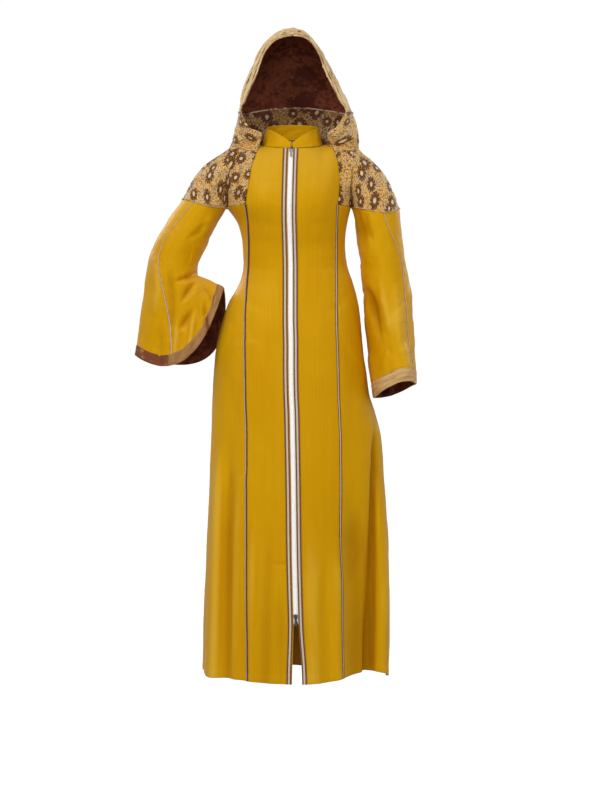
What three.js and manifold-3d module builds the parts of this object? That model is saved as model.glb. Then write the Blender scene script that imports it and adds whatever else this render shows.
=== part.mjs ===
// A hooded, full-length kaftan in its worn shape. Millimetres, +Z up.
// The origin is the neck base on the shoulder line. The front faces -Y, and the wearer's left is +X.
// "right" and "left" are the wearer's.
import * as THREE from "three";
import { mergeVertices } from "three/addons/utils/BufferGeometryUtils.js";
import Module from "manifold-3d";

const wasm = await Module();
wasm.setup();

// Cloth and seams
const cloth = 1.5;
const seamGap = 0.3;
const velvet = 1.8;
const braidThickness = 1.2;

// Lengths of the garment
const armpitZ = -146;
const hemZ = -1305;
const neckHalfWidth = 75;
const neckFront = -62;
const neckBack = 52;
const neckFrontZ = -5;
const neckBackZ = 30;
const shoulderTip = { x: 174, z: -6 };

// Zip
const zipSlot = 6;
const zipTapeWidth = 11;
const tapeGap = 0.8;
const zipTape = 0.9;
const chainWidth = 6;
const chainThickness = 2;
const zipTopZ = -9;
const zipBottomZ = -1146;
const slitAtHem = 12;

// Braids and piping
const braidFrom = 8;
const braidWidth = 12;
const pipingWidth = 3.4;
const pipingHeight = 2.2;

const colours = {
  satin: 0xc8940f,
  brocade: 0xd0a850,
  velvet: 0x9a5f3c,
  facing: 0x5a1c18,
  braid: 0x8a5a3a,
  piping: 0xd7b9a0,
  tape: 0xf2efe8,
  teeth: 0xe4e2dc,
  steel: 0x8c8c90,
};

const satinMaterial = () => finish(colours.satin, 0.42, 0);
const brocadeMaterial = () => finish(colours.brocade, 0.5, 0);
const velvetMaterial = () => finish(colours.velvet, 0.75, 0);
const facingMaterial = () => finish(colours.facing, 0.85, 0);
const braidMaterial = () => finish(colours.braid, 0.65, 0);
const pipingMaterial = () => finish(colours.piping, 0.6, 0);
const tapeMaterial = () => finish(colours.tape, 0.8, 0);
const teethMaterial = () => finish(colours.teeth, 0.4, 0);
const steelMaterial = () => finish(colours.steel, 0.3, 0.9);

function finish(color, roughness, metalness) {
  return new THREE.MeshStandardMaterial({ color, roughness, metalness });
}

// Sections of the body. left and right are the sides' x, front and back the depths,
// zip and the two princess seams are x on the front.
const bodyRows = [
  { z: -1305, right: -229, left: 241, front: 168, back: 188, zip: 7, seamRight: -110, seamLeft: 123 },
  { z: -1140, right: -224, left: 239, front: 160, back: 176, zip: 7, seamRight: -112, seamLeft: 120 },
  { z: -995, right: -218, left: 234, front: 153, back: 165, zip: 4, seamRight: -113, seamLeft: 118 },
  { z: -827, right: -209, left: 227, front: 146, back: 154, zip: 2, seamRight: -114, seamLeft: 117 },
  { z: -715, right: -204, left: 219, front: 140, back: 147, zip: 0, seamRight: -114, seamLeft: 116 },
  { z: -660, right: -203, left: 205, front: 137, back: 143, zip: -1, seamRight: -115, seamLeft: 114 },
  { z: -610, right: -201, left: 189, front: 134, back: 140, zip: -3, seamRight: -116, seamLeft: 112 },
  { z: -550, right: -197, left: 182, front: 130, back: 136, zip: -4, seamRight: -117, seamLeft: 111 },
  { z: -490, right: -191, left: 175, front: 126, back: 133, zip: -4, seamRight: -118, seamLeft: 109 },
  { z: -430, right: -178, left: 170, front: 120, back: 128, zip: -5, seamRight: -119, seamLeft: 107 },
  { z: -380, right: -161, left: 163, front: 112, back: 115, zip: -5, seamRight: -117, seamLeft: 107 },
  { z: -335, right: -136, left: 151, front: 104, back: 95, zip: -5, seamRight: -114, seamLeft: 107 },
  { z: -295, right: -124, left: 137, front: 99, back: 79, zip: -5, seamRight: -111, seamLeft: 107 },
  { z: -255, right: -124, left: 131, front: 99, back: 73, zip: -6, seamRight: -110, seamLeft: 107 },
  { z: -215, right: -128, left: 131, front: 107, back: 79, zip: -7, seamRight: -111, seamLeft: 108 },
  { z: -180, right: -139, left: 136, front: 114, back: 87, zip: -8, seamRight: -113, seamLeft: 109 },
  { z: -146, right: -163, left: 144, front: 117, back: 93, zip: -8, seamRight: -118, seamLeft: 110 },
];

// Folds of the skirt, by angle round it from the centre front towards the left side, in degrees.
// depth is outward, spread is the half width in degrees, and each fades in below its top.
const skirtFolds = [
  { angle: -62, depth: 9, spread: 7, top: -640 },
  { angle: -49, depth: -9, spread: 8, top: -560 },
  { angle: -84, depth: -7, spread: 7, top: -700 },
  { angle: -20, depth: 4, spread: 10, top: -860 },
  { angle: 12, depth: -4, spread: 9, top: -800 },
  { angle: 40, depth: -13, spread: 12, top: -560 },
  { angle: 55, depth: -12, spread: 5, top: -660 },
  { angle: 67, depth: 9, spread: 7, top: -680 },
  { angle: 92, depth: -9, spread: 6, top: -760 },
  { angle: 112, depth: 12, spread: 9, top: -640 },
  { angle: 131, depth: -12, spread: 8, top: -520 },
  { angle: 149, depth: 11, spread: 8, top: -600 },
  { angle: 165, depth: -12, spread: 7, top: -500 },
  { angle: 181, depth: 12, spread: 8, top: -470 },
  { angle: 197, depth: -11, spread: 7, top: -540 },
  { angle: 214, depth: 12, spread: 9, top: -620 },
  { angle: 231, depth: -12, spread: 7, top: -500 },
  { angle: 250, depth: 9, spread: 8, top: -640 },
];

// Shape of the hem: how far it lies below its level at angles round the skirt.
const hemRows = [
  { angle: -180, drop: 14 },
  { angle: -135, drop: 12 },
  { angle: -90, drop: -6 },
  { angle: -62, drop: -1 },
  { angle: -35, drop: -2 },
  { angle: -14, drop: 3 },
  { angle: 14, drop: 3 },
  { angle: 32, drop: -6 },
  { angle: 55, drop: -16 },
  { angle: 75, drop: 2 },
  { angle: 100, drop: 10 },
  { angle: 180, drop: 14 },
];
const hemReach = 260;

// Rows of each sleeve. inner and outer are the two ends of a ring in x and z, depth is
// towards the front and the back, and hang is how far the middle of the front or back wall
// falls from the line between the ends. piping is the overarm seam's angle from the inner end.
const sleeveRows = {
  right: [
    { ix: -165.5, iz: -146, ox: -277, oz: -126, front: 58, back: 56, hfx: 0, hfz: 0, hbx: 0, hbz: 0, piping: 111 },
    { ix: -185, iz: -176, ox: -302, oz: -160, front: 60, back: 58, hfx: 0, hfz: 0, hbx: 0, hbz: 0, piping: 116 },
    { ix: -204, iz: -214, ox: -328, oz: -200, front: 62, back: 60, hfx: 0, hfz: 0, hbx: 0, hbz: 0, piping: 123 },
    { ix: -220, iz: -247, ox: -346, oz: -230, front: 64, back: 62, hfx: 0, hfz: 0, hbx: 0, hbz: 0, piping: 125 },
    { ix: -232, iz: -270, ox: -356, oz: -262, front: 65, back: 64, hfx: 0, hfz: -1, hbx: 0, hbz: -1, piping: 125 },
    { ix: -239, iz: -293, ox: -364, oz: -296, front: 66, back: 66, hfx: 2, hfz: -4, hbx: 2, hbz: -4, piping: 119 },
    { ix: -237, iz: -313, ox: -369, oz: -326, front: 68, back: 68, hfx: 6, hfz: -10, hbx: 8, hbz: -10, piping: 113 },
    { ix: -222, iz: -322, ox: -374, oz: -366, front: 70, back: 72, hfx: 10, hfz: -22, hbx: 16, hbz: -22, piping: 110 },
    { ix: -206, iz: -329, ox: -379, oz: -400, front: 73, back: 76, hfx: 14, hfz: -40, hbx: 26, hbz: -38, piping: 109 },
    { ix: -190, iz: -336, ox: -384, oz: -436, front: 76, back: 80, hfx: 17, hfz: -60, hbx: 40, hbz: -54, piping: 108 },
    { ix: -178, iz: -341, ox: -388, oz: -468, front: 79, back: 84, hfx: 18, hfz: -76, hbx: 52, hbz: -68, piping: 107 },
    { ix: -174, iz: -344, ox: -391, oz: -494, front: 82, back: 88, hfx: 18, hfz: -88, hbx: 60, hbz: -80, piping: 107 },
    { ix: -172, iz: -346, ox: -395, oz: -513, front: 84, back: 90, hfx: 22, hfz: -94, hbx: 66, hbz: -86, piping: 107 },
  ],
  left: [
    { ix: 146.5, iz: -146, ox: 265, oz: -147, front: 58, back: 56, hfx: 0, hfz: -6, hbx: 0, hbz: -4, piping: 106 },
    { ix: 153, iz: -185, ox: 270, oz: -185, front: 60, back: 58, hfx: 0, hfz: -3, hbx: 0, hbz: -2, piping: 110 },
    { ix: 160, iz: -232, ox: 275, oz: -232, front: 63, back: 62, hfx: 0, hfz: 0, hbx: 0, hbz: 0, piping: 127 },
    { ix: 168, iz: -282, ox: 282, oz: -282, front: 66, back: 66, hfx: 0, hfz: 0, hbx: 0, hbz: 0, piping: 143 },
    { ix: 172, iz: -325, ox: 290, oz: -325, front: 70, back: 71, hfx: 0, hfz: 0, hbx: 0, hbz: 0, piping: 138 },
    { ix: 176, iz: -372, ox: 297, oz: -368, front: 76, back: 78, hfx: 0, hfz: 1, hbx: 0, hbz: -1, piping: 134 },
    { ix: 179, iz: -424, ox: 300, oz: -420, front: 84, back: 88, hfx: 0, hfz: 3, hbx: 0, hbz: -2, piping: 133 },
    { ix: 184, iz: -475, ox: 302, oz: -470, front: 94, back: 98, hfx: 0, hfz: 7, hbx: 0, hbz: -3, piping: 135 },
    { ix: 190, iz: -528, ox: 304, oz: -514, front: 104, back: 110, hfx: 0, hfz: 12, hbx: 0, hbz: -5, piping: 141 },
    { ix: 197, iz: -586, ox: 307, oz: -551, front: 114, back: 122, hfx: 0, hfz: 18, hbx: 0, hbz: -8, piping: 150 },
    { ix: 201, iz: -620, ox: 308, oz: -586, front: 120, back: 128, hfx: 0, hfz: 20, hbx: 0, hbz: -10, piping: 150 },
  ],
};
const cuffHeightRows = 1;
const cuffGapRow = { right: 0.03, left: 0.011 };
const capBulge = 15;
const capOpensAt = 24;

// Ribs of the hood, from its seat on the yoke to the crown. Each runs from the front edge over
// the side to the middle of the back. edge and side have an x on each side of the wearer.
const hoodRows = [
  { edgeR: -77, edgeL: 82, edgeY: -44, edgeZ: 12, sideR: -156, sideL: 170, sideY: 4, sideZ: 4, backY: 84, backZ: 0 },
  { edgeR: -76, edgeL: 82, edgeY: -50, edgeZ: 27, sideR: -151, sideL: 167, sideY: 8, sideZ: 22, backY: 92, backZ: 28 },
  { edgeR: -82, edgeL: 88, edgeY: -54, edgeZ: 38, sideR: -147, sideL: 164, sideY: 12, sideZ: 44, backY: 100, backZ: 60 },
  { edgeR: -106, edgeL: 106, edgeY: -50, edgeZ: 50, sideR: -142, sideL: 159, sideY: 16, sideZ: 66, backY: 109, backZ: 92 },
  { edgeR: -128, edgeL: 130, edgeY: -38, edgeZ: 90, sideR: -136, sideL: 149, sideY: 20, sideZ: 96, backY: 118, backZ: 125 },
  { edgeR: -118, edgeL: 116, edgeY: -43, edgeZ: 114, sideR: -132, sideL: 136, sideY: 24, sideZ: 126, backY: 128, backZ: 158 },
  { edgeR: -108, edgeL: 103, edgeY: -48, edgeZ: 138, sideR: -127, sideL: 123, sideY: 25, sideZ: 155, backY: 130, backZ: 192 },
  { edgeR: -94, edgeL: 88, edgeY: -53, edgeZ: 167, sideR: -115, sideL: 107, sideY: 22, sideZ: 187, backY: 122, backZ: 225 },
  { edgeR: -82, edgeL: 74, edgeY: -57, edgeZ: 198, sideR: -101, sideL: 90, sideY: 17, sideZ: 217, backY: 105, backZ: 256 },
  { edgeR: -70, edgeL: 62, edgeY: -59, edgeZ: 229, sideR: -86, sideL: 73, sideY: 8, sideZ: 247, backY: 78, backZ: 283 },
  { edgeR: -50, edgeL: 45, edgeY: -59, edgeZ: 256, sideR: -66, sideL: 53, sideY: -4, sideZ: 273, backY: 45, backZ: 302 },
  { edgeR: -25, edgeL: 25, edgeY: -57, edgeZ: 271, sideR: -34, sideL: 26, sideY: -16, sideZ: 298, backY: 10, backZ: 311 },
  { edgeR: 0.6, edgeL: 3.4, edgeY: -55, edgeZ: 278, sideR: 0.4, sideL: 3.6, sideY: -32, sideZ: 303, backY: -12, backZ: 313 },
];
const hoodSeamRow = 4;
const hoodSideAt = 0.45;

// Stand collar: heights above the neck seam from the centre front to the centre back.
const collarRows = [
  { at: 0, height: 12 },
  { at: 0.05, height: 21 },
  { at: 0.1, height: 28 },
  { at: 0.2, height: 37 },
  { at: 0.3, height: 41 },
  { at: 0.5, height: 41 },
  { at: 1, height: 38 },
];
const collarLean = 11;

// Inner edge of the front yokes, by height of the body's level.
const yokeEdgeRows = [
  { level: -146, right: -118, left: 110 },
  { level: -134, right: -120, left: 114 },
  { level: -118, right: -119, left: 116 },
  { level: -88, right: -113, left: 114 },
  { level: -55, right: -103, left: 108 },
  { level: -20, right: -88, left: 95 },
  { level: 0, right: -79, left: 84 },
];
const yokeBackLevel = -112;
const bust = { x: 75, z: -134, width: 46, height: 50, depth: 9 };

// Smooth value of one column of a table between its rows.
function column(rows, along, name, at) {
  const last = rows.length - 1;
  const rising = rows[last][along] > rows[0][along];
  let i = 0;
  while (i < last - 1 && (rising ? at > rows[i + 1][along] : at < rows[i + 1][along])) i += 1;
  const span = rows[i + 1][along] - rows[i][along];
  const t = THREE.MathUtils.clamp((at - rows[i][along]) / span, 0, 1);
  const slope = (k) => {
    const a = rows[Math.max(k - 1, 0)];
    const b = rows[Math.min(k + 1, last)];
    return (b[name] - a[name]) / (b[along] - a[along]);
  };
  const t2 = t * t;
  const t3 = t2 * t;
  return (
    (2 * t3 - 3 * t2 + 1) * rows[i][name] +
    (t3 - 2 * t2 + t) * span * slope(i) +
    (3 * t2 - 2 * t3) * rows[i + 1][name] +
    (t3 - t2) * span * slope(i + 1)
  );
}

// The same for rows that are simply numbered.
function numbered(rows, name, at) {
  const list = rows.map((row, index) => ({ index, value: row[name] }));
  return column(list, "index", "value", at);
}

const smooth = THREE.MathUtils.smoothstep;
const mix = THREE.MathUtils.lerp;
const clamp = THREE.MathUtils.clamp;
const quarter = Math.PI / 2;

function skirtFold(degrees, z) {
  let out = 0;
  for (const fold of skirtFolds) {
    const turn = ((((degrees - fold.angle + 180) % 360) + 360) % 360) - 180;
    const grown = smooth(fold.top - z, 0, 520);
    out += fold.depth * grown * Math.exp(-((turn / fold.spread) ** 2));
  }
  return out;
}

// The body's outer surface. across runs from the centre (0) to the side seams (-1 and 1).
// level is the height below the armpits, and above them it runs up to 0 on the neck and
// shoulder seams.
function bodyPoint(isFront, across, level) {
  const z = Math.min(level, armpitZ);
  const right = column(bodyRows, "z", "right", z);
  const left = column(bodyRows, "z", "left", z);
  const depth = column(bodyRows, "z", isFront ? "front" : "back", z);
  const middle = (left + right) / 2;
  const half = (left - right) / 2;
  const turn = across * quarter;
  const degrees = isFront ? across * 90 : 180 - across * 90;
  const fold = skirtFold(degrees, z);
  const sign = isFront ? -1 : 1;
  const point = new THREE.Vector3(
    middle + (half + fold) * Math.sin(turn),
    sign * (depth + fold) * Math.cos(turn),
    z,
  );
  const wrapped = degrees > 180 ? degrees - 360 : degrees;
  point.z -= column(hemRows, "angle", "drop", wrapped) * (1 - smooth(z, hemZ, hemZ + hemReach));
  if (level > armpitZ) shapeShoulder(point, isFront, across, 1 - level / armpitZ);
  if (isFront) {
    const nearX = (Math.abs(point.x) - bust.x) / bust.width;
    const nearZ = (point.z - bust.z) / bust.height;
    point.y -= bust.depth * Math.exp(-nearX * nearX - nearZ * nearZ);
  }
  return point;
}

// Above the armpits each point rises to the neck and shoulder line.
function shapeShoulder(point, isFront, across, rise) {
  const side = Math.sign(across) || 1;
  const reach = Math.abs(across);
  const top = shoulderLine(isFront, reach);
  const round = mix(0.35, 1, smooth(reach, 0, 0.5));
  const up = mix(rise, Math.sin(rise * quarter), round);
  const over = mix(rise, 1 - Math.cos(rise * quarter), round);
  const armhole = smooth(reach, 0.62, 1) * Math.sin(rise * Math.PI) * (isFront ? -52 : 44);
  point.x = mix(point.x, side * top.x, rise);
  point.y = mix(point.y, top.y, over) + armhole;
  point.z = mix(point.z, top.z, up);
  point.x -= side * smooth(reach, 0.6, 1) * Math.sin(rise * Math.PI) * 9;
}

const neckShare = 0.34;

function shoulderLine(isFront, reach) {
  if (reach < neckShare) return neckPoint(isFront ? (reach / neckShare) * 0.5 : 1 - (reach / neckShare) * 0.5);
  const t = (reach - neckShare) / (1 - neckShare);
  const side = neckPoint(0.5);
  return new THREE.Vector3(
    mix(side.x, shoulderTip.x, t),
    mix(side.y, 4, t),
    mix(side.z, shoulderTip.z, t) + 5 * Math.sin(t * Math.PI),
  );
}

// The neck seam, from the centre front (0) by the side (0.5) to the centre back (1).
function neckPoint(round) {
  const turn = round * Math.PI;
  const depth = round < 0.5 ? -neckFront : neckBack;
  return new THREE.Vector3(
    neckHalfWidth * Math.sin(turn),
    -depth * Math.cos(turn),
    mix(neckFrontZ, neckBackZ, smooth(round, 0, 1)),
  );
}

// Where the front has a given x at a level, as a share of the way to the side seam.
function acrossAt(x, level) {
  let low = -1;
  let high = 1;
  for (let step = 0; step < 26; step += 1) {
    const trial = (low + high) / 2;
    if (bodyPoint(true, trial, level).x < x) low = trial;
    else high = trial;
  }
  return (low + high) / 2;
}

function zipX(level) {
  const share = level > armpitZ ? mix(0.5, 1, level / armpitZ) : 1;
  return column(bodyRows, "z", "zip", Math.min(level, armpitZ)) * share;
}

function seamX(side, level) {
  return column(bodyRows, "z", side < 0 ? "seamRight" : "seamLeft", Math.min(level, armpitZ));
}

function slotHalf(level) {
  return mix(slitAtHem, zipSlot, smooth(level, hemZ, zipBottomZ));
}

// The levels of the body's rows, from the hem up to the armpits and on to the shoulders.
const skirtSteps = 21;
const shoulderSteps = 7;
const shoulderSeamLevel = -0.5;
const levels = [];
for (let i = 0; i <= skirtSteps; i += 1) levels.push(mix(hemZ, armpitZ, (i / skirtSteps) ** 0.88));
for (let i = 1; i < shoulderSteps; i += 1) levels.push(armpitZ * (1 - i / shoulderSteps));
levels.push(shoulderSeamLevel);
const topRow = levels.length - 1;

// A wall of cloth over part of a surface. at(i, j) gives the surface's two values at column i
// and row j, core is a point in the hollow, and out moves the wall off the surface.
function wall(settings) {
  const { surface, columns, rows, at, core } = settings;
  const out = settings.out ?? 0;
  const thickness = settings.thickness ?? cloth;
  const crown = settings.crown ?? (() => 0);
  const ringed = settings.ringed ?? false;
  const steps = settings.steps ?? [0.004, 1];
  const count = ringed ? columns : columns + 1;
  const outer = [];
  const inner = [];
  let sense = 1;
  for (let j = 0; j <= rows; j += 1) {
    for (let i = 0; i < count; i += 1) {
      const [a, b] = at(i, j);
      const point = surface(a, b);
      const alongA = surface(a + steps[0], b).sub(surface(a - steps[0], b));
      const alongB = surface(a, b + steps[1]).sub(surface(a, b - steps[1]));
      const normal = alongA.cross(alongB).normalize();
      outer.push({ point, normal, crown: crown(i, j) });
    }
  }
  const probe = outer[Math.floor(rows / 2) * count + Math.floor(count / 2)];
  if (probe.normal.dot(probe.point.clone().sub(core(probe.point))) < 0) sense = -1;
  const positions = [];
  for (const { point, normal, crown: raise } of outer) {
    const top = point.clone().addScaledVector(normal, sense * (out + raise));
    positions.push(top.x, top.y, top.z);
  }
  for (const { point, normal } of outer) {
    const low = point.clone().addScaledVector(normal, sense * (out - thickness));
    inner.push(low.x, low.y, low.z);
  }
  positions.push(...inner);
  const layer = outer.length;
  const vertex = (i, j, k) => k * layer + j * count + (i % count);
  const index = [];
  const quad = (a, b, c, d) => index.push(a, b, c, a, c, d);
  for (let j = 0; j < rows; j += 1) {
    for (let i = 0; i < columns; i += 1) {
      quad(vertex(i, j, 0), vertex(i + 1, j, 0), vertex(i + 1, j + 1, 0), vertex(i, j + 1, 0));
      quad(vertex(i, j + 1, 1), vertex(i + 1, j + 1, 1), vertex(i + 1, j, 1), vertex(i, j, 1));
    }
  }
  for (let i = 0; i < columns; i += 1) {
    quad(vertex(i, 0, 1), vertex(i + 1, 0, 1), vertex(i + 1, 0, 0), vertex(i, 0, 0));
    quad(vertex(i, rows, 0), vertex(i + 1, rows, 0), vertex(i + 1, rows, 1), vertex(i, rows, 1));
  }
  if (!ringed) {
    for (let j = 0; j < rows; j += 1) {
      quad(vertex(0, j, 0), vertex(0, j + 1, 0), vertex(0, j + 1, 1), vertex(0, j, 1));
      quad(vertex(columns, j, 1), vertex(columns, j + 1, 1), vertex(columns, j + 1, 0), vertex(columns, j, 0));
    }
  }
  return closedGeometry(positions, index);
}

// A closed geometry with its faces pointing out.
function closedGeometry(positions, index) {
  let volume = 0;
  const corner = (k) => new THREE.Vector3(positions[3 * k], positions[3 * k + 1], positions[3 * k + 2]);
  for (let f = 0; f < index.length; f += 3) {
    const [a, b, c] = [corner(index[f]), corner(index[f + 1]), corner(index[f + 2])];
    volume += a.dot(b.cross(c));
  }
  if (volume < 0) {
    for (let f = 0; f < index.length; f += 3) [index[f], index[f + 1]] = [index[f + 1], index[f]];
  }
  const geometry = new THREE.BufferGeometry();
  geometry.setAttribute("position", new THREE.Float32BufferAttribute(positions, 3));
  geometry.setIndex(index);
  return geometry;
}

const kaftan = new THREE.Group();

function add(name, geometry, material) {
  const mesh = new THREE.Mesh(geometry, material);
  mesh.name = name;
  kaftan.add(mesh);
}

const sides = [
  { name: "right", sign: -1 },
  { name: "left", sign: 1 },
];
const bodyCore = (point) => new THREE.Vector3(0, 0, point.z - 60);
const frontSurface = (across, level) => bodyPoint(true, across, level);
const backSurface = (across, level) => bodyPoint(false, across, level);

// Front and side-front panels, parted by the princess seams.
const frontColumns = 5;
const sideColumns = 5;

function frontEdge(side, level) {
  return acrossAt(zipX(level) + side * slotHalf(level), level);
}

function princess(side, level, gap) {
  return acrossAt(seamX(side, level), level) + (side * gap) / 240;
}

// The front panel's outer edge: the princess seam, and above it the yoke's inner edge.
function frontOuter(name, sign, level, gap) {
  if (level <= armpitZ) return princess(sign, level, gap);
  return acrossAt(column(yokeEdgeRows, "level", name, level), level) + (sign * gap) / 240;
}

function addFrontPanels({ name, sign }) {
  add(`front_${name}`, wall({
    surface: frontSurface,
    columns: frontColumns,
    rows: topRow,
    core: bodyCore,
    at: (i, j) => {
      const level = levels[j];
      const edge = frontEdge(sign, level);
      const share = i === 0 ? 0 : mix(0.16, 1, (i - 1) / (frontColumns - 1));
      return [mix(edge, frontOuter(name, sign, level, -seamGap), share), level];
    },
  }), satinMaterial());
  add(`side_front_${name}`, wall({
    surface: frontSurface,
    columns: sideColumns,
    rows: skirtSteps,
    core: bodyCore,
    at: (i, j) => {
      const level = j === skirtSteps ? armpitZ - seamGap : levels[j];
      const side = sign * (1 - seamGap / 240);
      return [mix(princess(sign, level, seamGap), side, i / sideColumns), level];
    },
  }), satinMaterial());
}

const backColumns = 24;
const backRows = levels.filter((level) => level < yokeBackLevel - 8);
backRows.push(yokeBackLevel - seamGap);

function addBack() {
  add("back", wall({
    surface: backSurface,
    columns: backColumns,
    rows: backRows.length - 1,
    core: bodyCore,
    at: (i, j) => {
      const limit = 1 - seamGap / 240;
      return [mix(-limit, limit, i / backColumns), backRows[j]];
    },
  }), satinMaterial());
}

// Yokes: the front ones reach from the front panels' edge to the armhole.
const yokeColumns = 7;
const yokeRows = levels.slice(skirtSteps);

function addYokes() {
  for (const { name, sign } of sides) {
    add(`yoke_front_${name}`, wall({
      surface: frontSurface,
      columns: yokeColumns,
      rows: yokeRows.length - 1,
      core: bodyCore,
      at: (i, j) => {
        const level = yokeRows[j];
        return [mix(frontOuter(name, sign, level, seamGap), sign * (1 - seamGap / 240), i / yokeColumns), level];
      },
    }), brocadeMaterial());
  }
  const steps = 6;
  add("yoke_back", wall({
    surface: backSurface,
    columns: backColumns,
    rows: steps,
    core: bodyCore,
    at: (i, j) => {
      const level = mix(yokeBackLevel, shoulderSeamLevel, j / steps);
      const limit = 1 - seamGap / 240;
      return [mix(-limit, limit, i / backColumns), level];
    },
  }), brocadeMaterial());
}

// Sleeves: angle runs round a ring from its inner end by the front, in degrees.
function sleevePoint(side, angle, row) {
  const rows = sleeveRows[side];
  const value = (name) => numbered(rows, name, row);
  const turn = THREE.MathUtils.degToRad(angle);
  const cos = Math.cos(turn);
  const sin = Math.sin(turn);
  const isFront = sin > 0;
  const hang = sin * sin;
  return new THREE.Vector3(
    (value("ix") + value("ox")) / 2 + (cos * (value("ix") - value("ox"))) / 2 + hang * value(isFront ? "hfx" : "hbx"),
    -sin * value(isFront ? "front" : "back"),
    (value("iz") + value("oz")) / 2 + (cos * (value("iz") - value("oz"))) / 2 + hang * value(isFront ? "hfz" : "hbz"),
  );
}

function sleeveCore(side) {
  return (point) => {
    const rows = sleeveRows[side];
    const nearest = rows.reduce((best, row) => {
      const gap = Math.abs((row.iz + row.oz) / 2 - point.z);
      return gap < best.gap ? { gap, row } : best;
    }, { gap: Infinity, row: rows[0] }).row;
    return new THREE.Vector3((nearest.ix + nearest.ox) / 2, 0, (nearest.iz + nearest.oz) / 2);
  };
}

const armholeGap = 2;

// The armhole's edge on the body at an angle round the arm, 0 at the armpit.
function armholePoint(sign, angle) {
  const turned = ((angle % 360) + 360) % 360;
  const isFront = turned <= 180;
  const rise = isFront ? turned / 180 : (360 - turned) / 180;
  const point = bodyPoint(isFront, sign, armpitZ * (1 - rise));
  point.x += sign * armholeGap;
  return point;
}

function capPoint(side, sign, angle, down) {
  const top = armholePoint(sign, angle);
  const low = sleevePoint(side, angle, 0);
  const point = top.lerp(low, down);
  const swell = Math.sin(down * Math.PI) * Math.sin(THREE.MathUtils.degToRad(angle) / 2) ** 2 * capBulge;
  point.x += sign * swell * 0.75;
  point.z += swell * 0.66;
  return point;
}

const capColumns = 18;
const capRows = 5;
const sleeveColumns = 8;
const sleeveBackColumns = 11;
const cuffColumns = sleeveColumns + sleeveBackColumns;

function addSleeve({ name, sign }) {
  const rows = sleeveRows[name];
  const seamRow = rows.length - 1 - cuffHeightRows;
  const surface = (angle, row) => sleevePoint(name, angle, row);
  const core = sleeveCore(name);
  const steps = [1, 0.05];
  const degreeGap = 0.35;
  const capAngle = (i) => mix(capOpensAt, 360 - capOpensAt, i / capColumns);
  add(`cap_${name}`, wall({
    surface: (angle, down) => capPoint(name, sign, angle, down),
    columns: capColumns,
    rows: capRows,
    core: () => new THREE.Vector3(sign * 200, 0, -150),
    steps: [1, 0.01],
    at: (i, j) => [capAngle(i), (j / capRows) * 0.996],
  }), brocadeMaterial());
  add(`piping_cap_${name}`, wall({
    surface: (angle, down) => capPoint(name, sign, angle, down),
    columns: capColumns,
    rows: 2,
    out: 0.5 + pipingHeight * 0.6,
    thickness: pipingHeight * 0.6,
    crown: (i, j) => (j === 1 ? pipingHeight * 0.4 : 0),
    core: () => new THREE.Vector3(sign * 200, 0, -150),
    steps: [1, 0.01],
    at: (i, j) => [capAngle(i), 0.93 + 0.0275 * j],
  }), pipingMaterial());
  const seam = (row) => numbered(rows, "piping", row);
  const sleeveRow = (j) => Math.max(j, 0.016);
  add(`sleeve_front_${name}`, wall({
    surface,
    columns: sleeveColumns,
    rows: seamRow,
    core,
    steps,
    at: (i, j) => [mix(degreeGap, seam(j) - degreeGap, i / sleeveColumns), sleeveRow(j)],
  }), satinMaterial());
  add(`sleeve_back_${name}`, wall({
    surface,
    columns: sleeveBackColumns,
    rows: seamRow,
    core,
    steps,
    at: (i, j) => [mix(seam(j) + degreeGap, 360 - degreeGap, i / sleeveBackColumns), sleeveRow(j)],
  }), satinMaterial());
  add(`piping_sleeve_${name}`, wall({
    surface,
    columns: 2,
    rows: seamRow,
    core,
    steps,
    out: 0.6 + pipingHeight * 0.6,
    thickness: pipingHeight * 0.6,
    crown: (i) => (i === 1 ? pipingHeight * 0.4 : 0),
    at: (i, j) => [seam(j) + (i - 1) * 1.5, j === 0 ? 0.05 : j - (j === seamRow ? 0.02 : 0)],
  }), pipingMaterial());
  const bandRow = (j, from) => mix(seamRow + from, rows.length - 1, j / 2);
  const ringAngle = (i, row) => {
    const parted = seam(Math.min(row, seamRow));
    if (i <= sleeveColumns) return (parted * i) / sleeveColumns;
    return mix(parted, 360, (i - sleeveColumns) / sleeveBackColumns);
  };
  add(`cuff_${name}`, wall({
    surface,
    columns: cuffColumns,
    rows: 2,
    core,
    steps,
    ringed: true,
    thickness: velvet,
    at: (i, j) => [ringAngle(i, bandRow(j, cuffGapRow[name])), bandRow(j, cuffGapRow[name])],
  }), velvetMaterial());
  add(`cuff_facing_${name}`, wall({
    surface,
    columns: cuffColumns,
    rows: 2,
    core,
    steps,
    ringed: true,
    out: -(velvet + 0.4),
    thickness: 1,
    at: (i, j) => [ringAngle(i, bandRow(j, 0.12)), bandRow(j, 0.12)],
  }), facingMaterial());
}

// Hood: round runs from the right front edge (-1) by the centre back (0) to the left (1).
function hoodPoint(round, row) {
  const sign = round < 0 ? -1 : 1;
  const along = 1 - Math.abs(round);
  const value = (name) => numbered(hoodRows, name, row);
  const middle = (value("edgeR") + value("edgeL")) / 2;
  const edgeX = value(sign < 0 ? "edgeR" : "edgeL");
  const sideX = value(sign < 0 ? "sideR" : "sideL");
  if (along < hoodSideAt) {
    const t = clamp(along / hoodSideAt, -0.05, 1) * quarter;
    return new THREE.Vector3(
      mix(edgeX, sideX, Math.sin(t)),
      mix(value("sideY"), value("edgeY"), Math.cos(t)),
      mix(value("edgeZ"), value("sideZ"), along / hoodSideAt),
    );
  }
  const t = ((along - hoodSideAt) / (1 - hoodSideAt)) * quarter;
  return new THREE.Vector3(
    mix(middle, sideX, Math.cos(t)),
    mix(value("sideY"), value("backY"), Math.sin(t)),
    mix(value("sideZ"), value("backZ"), smooth(t / quarter, 0, 1)),
  );
}

const seatGap = 2.3;

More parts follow.
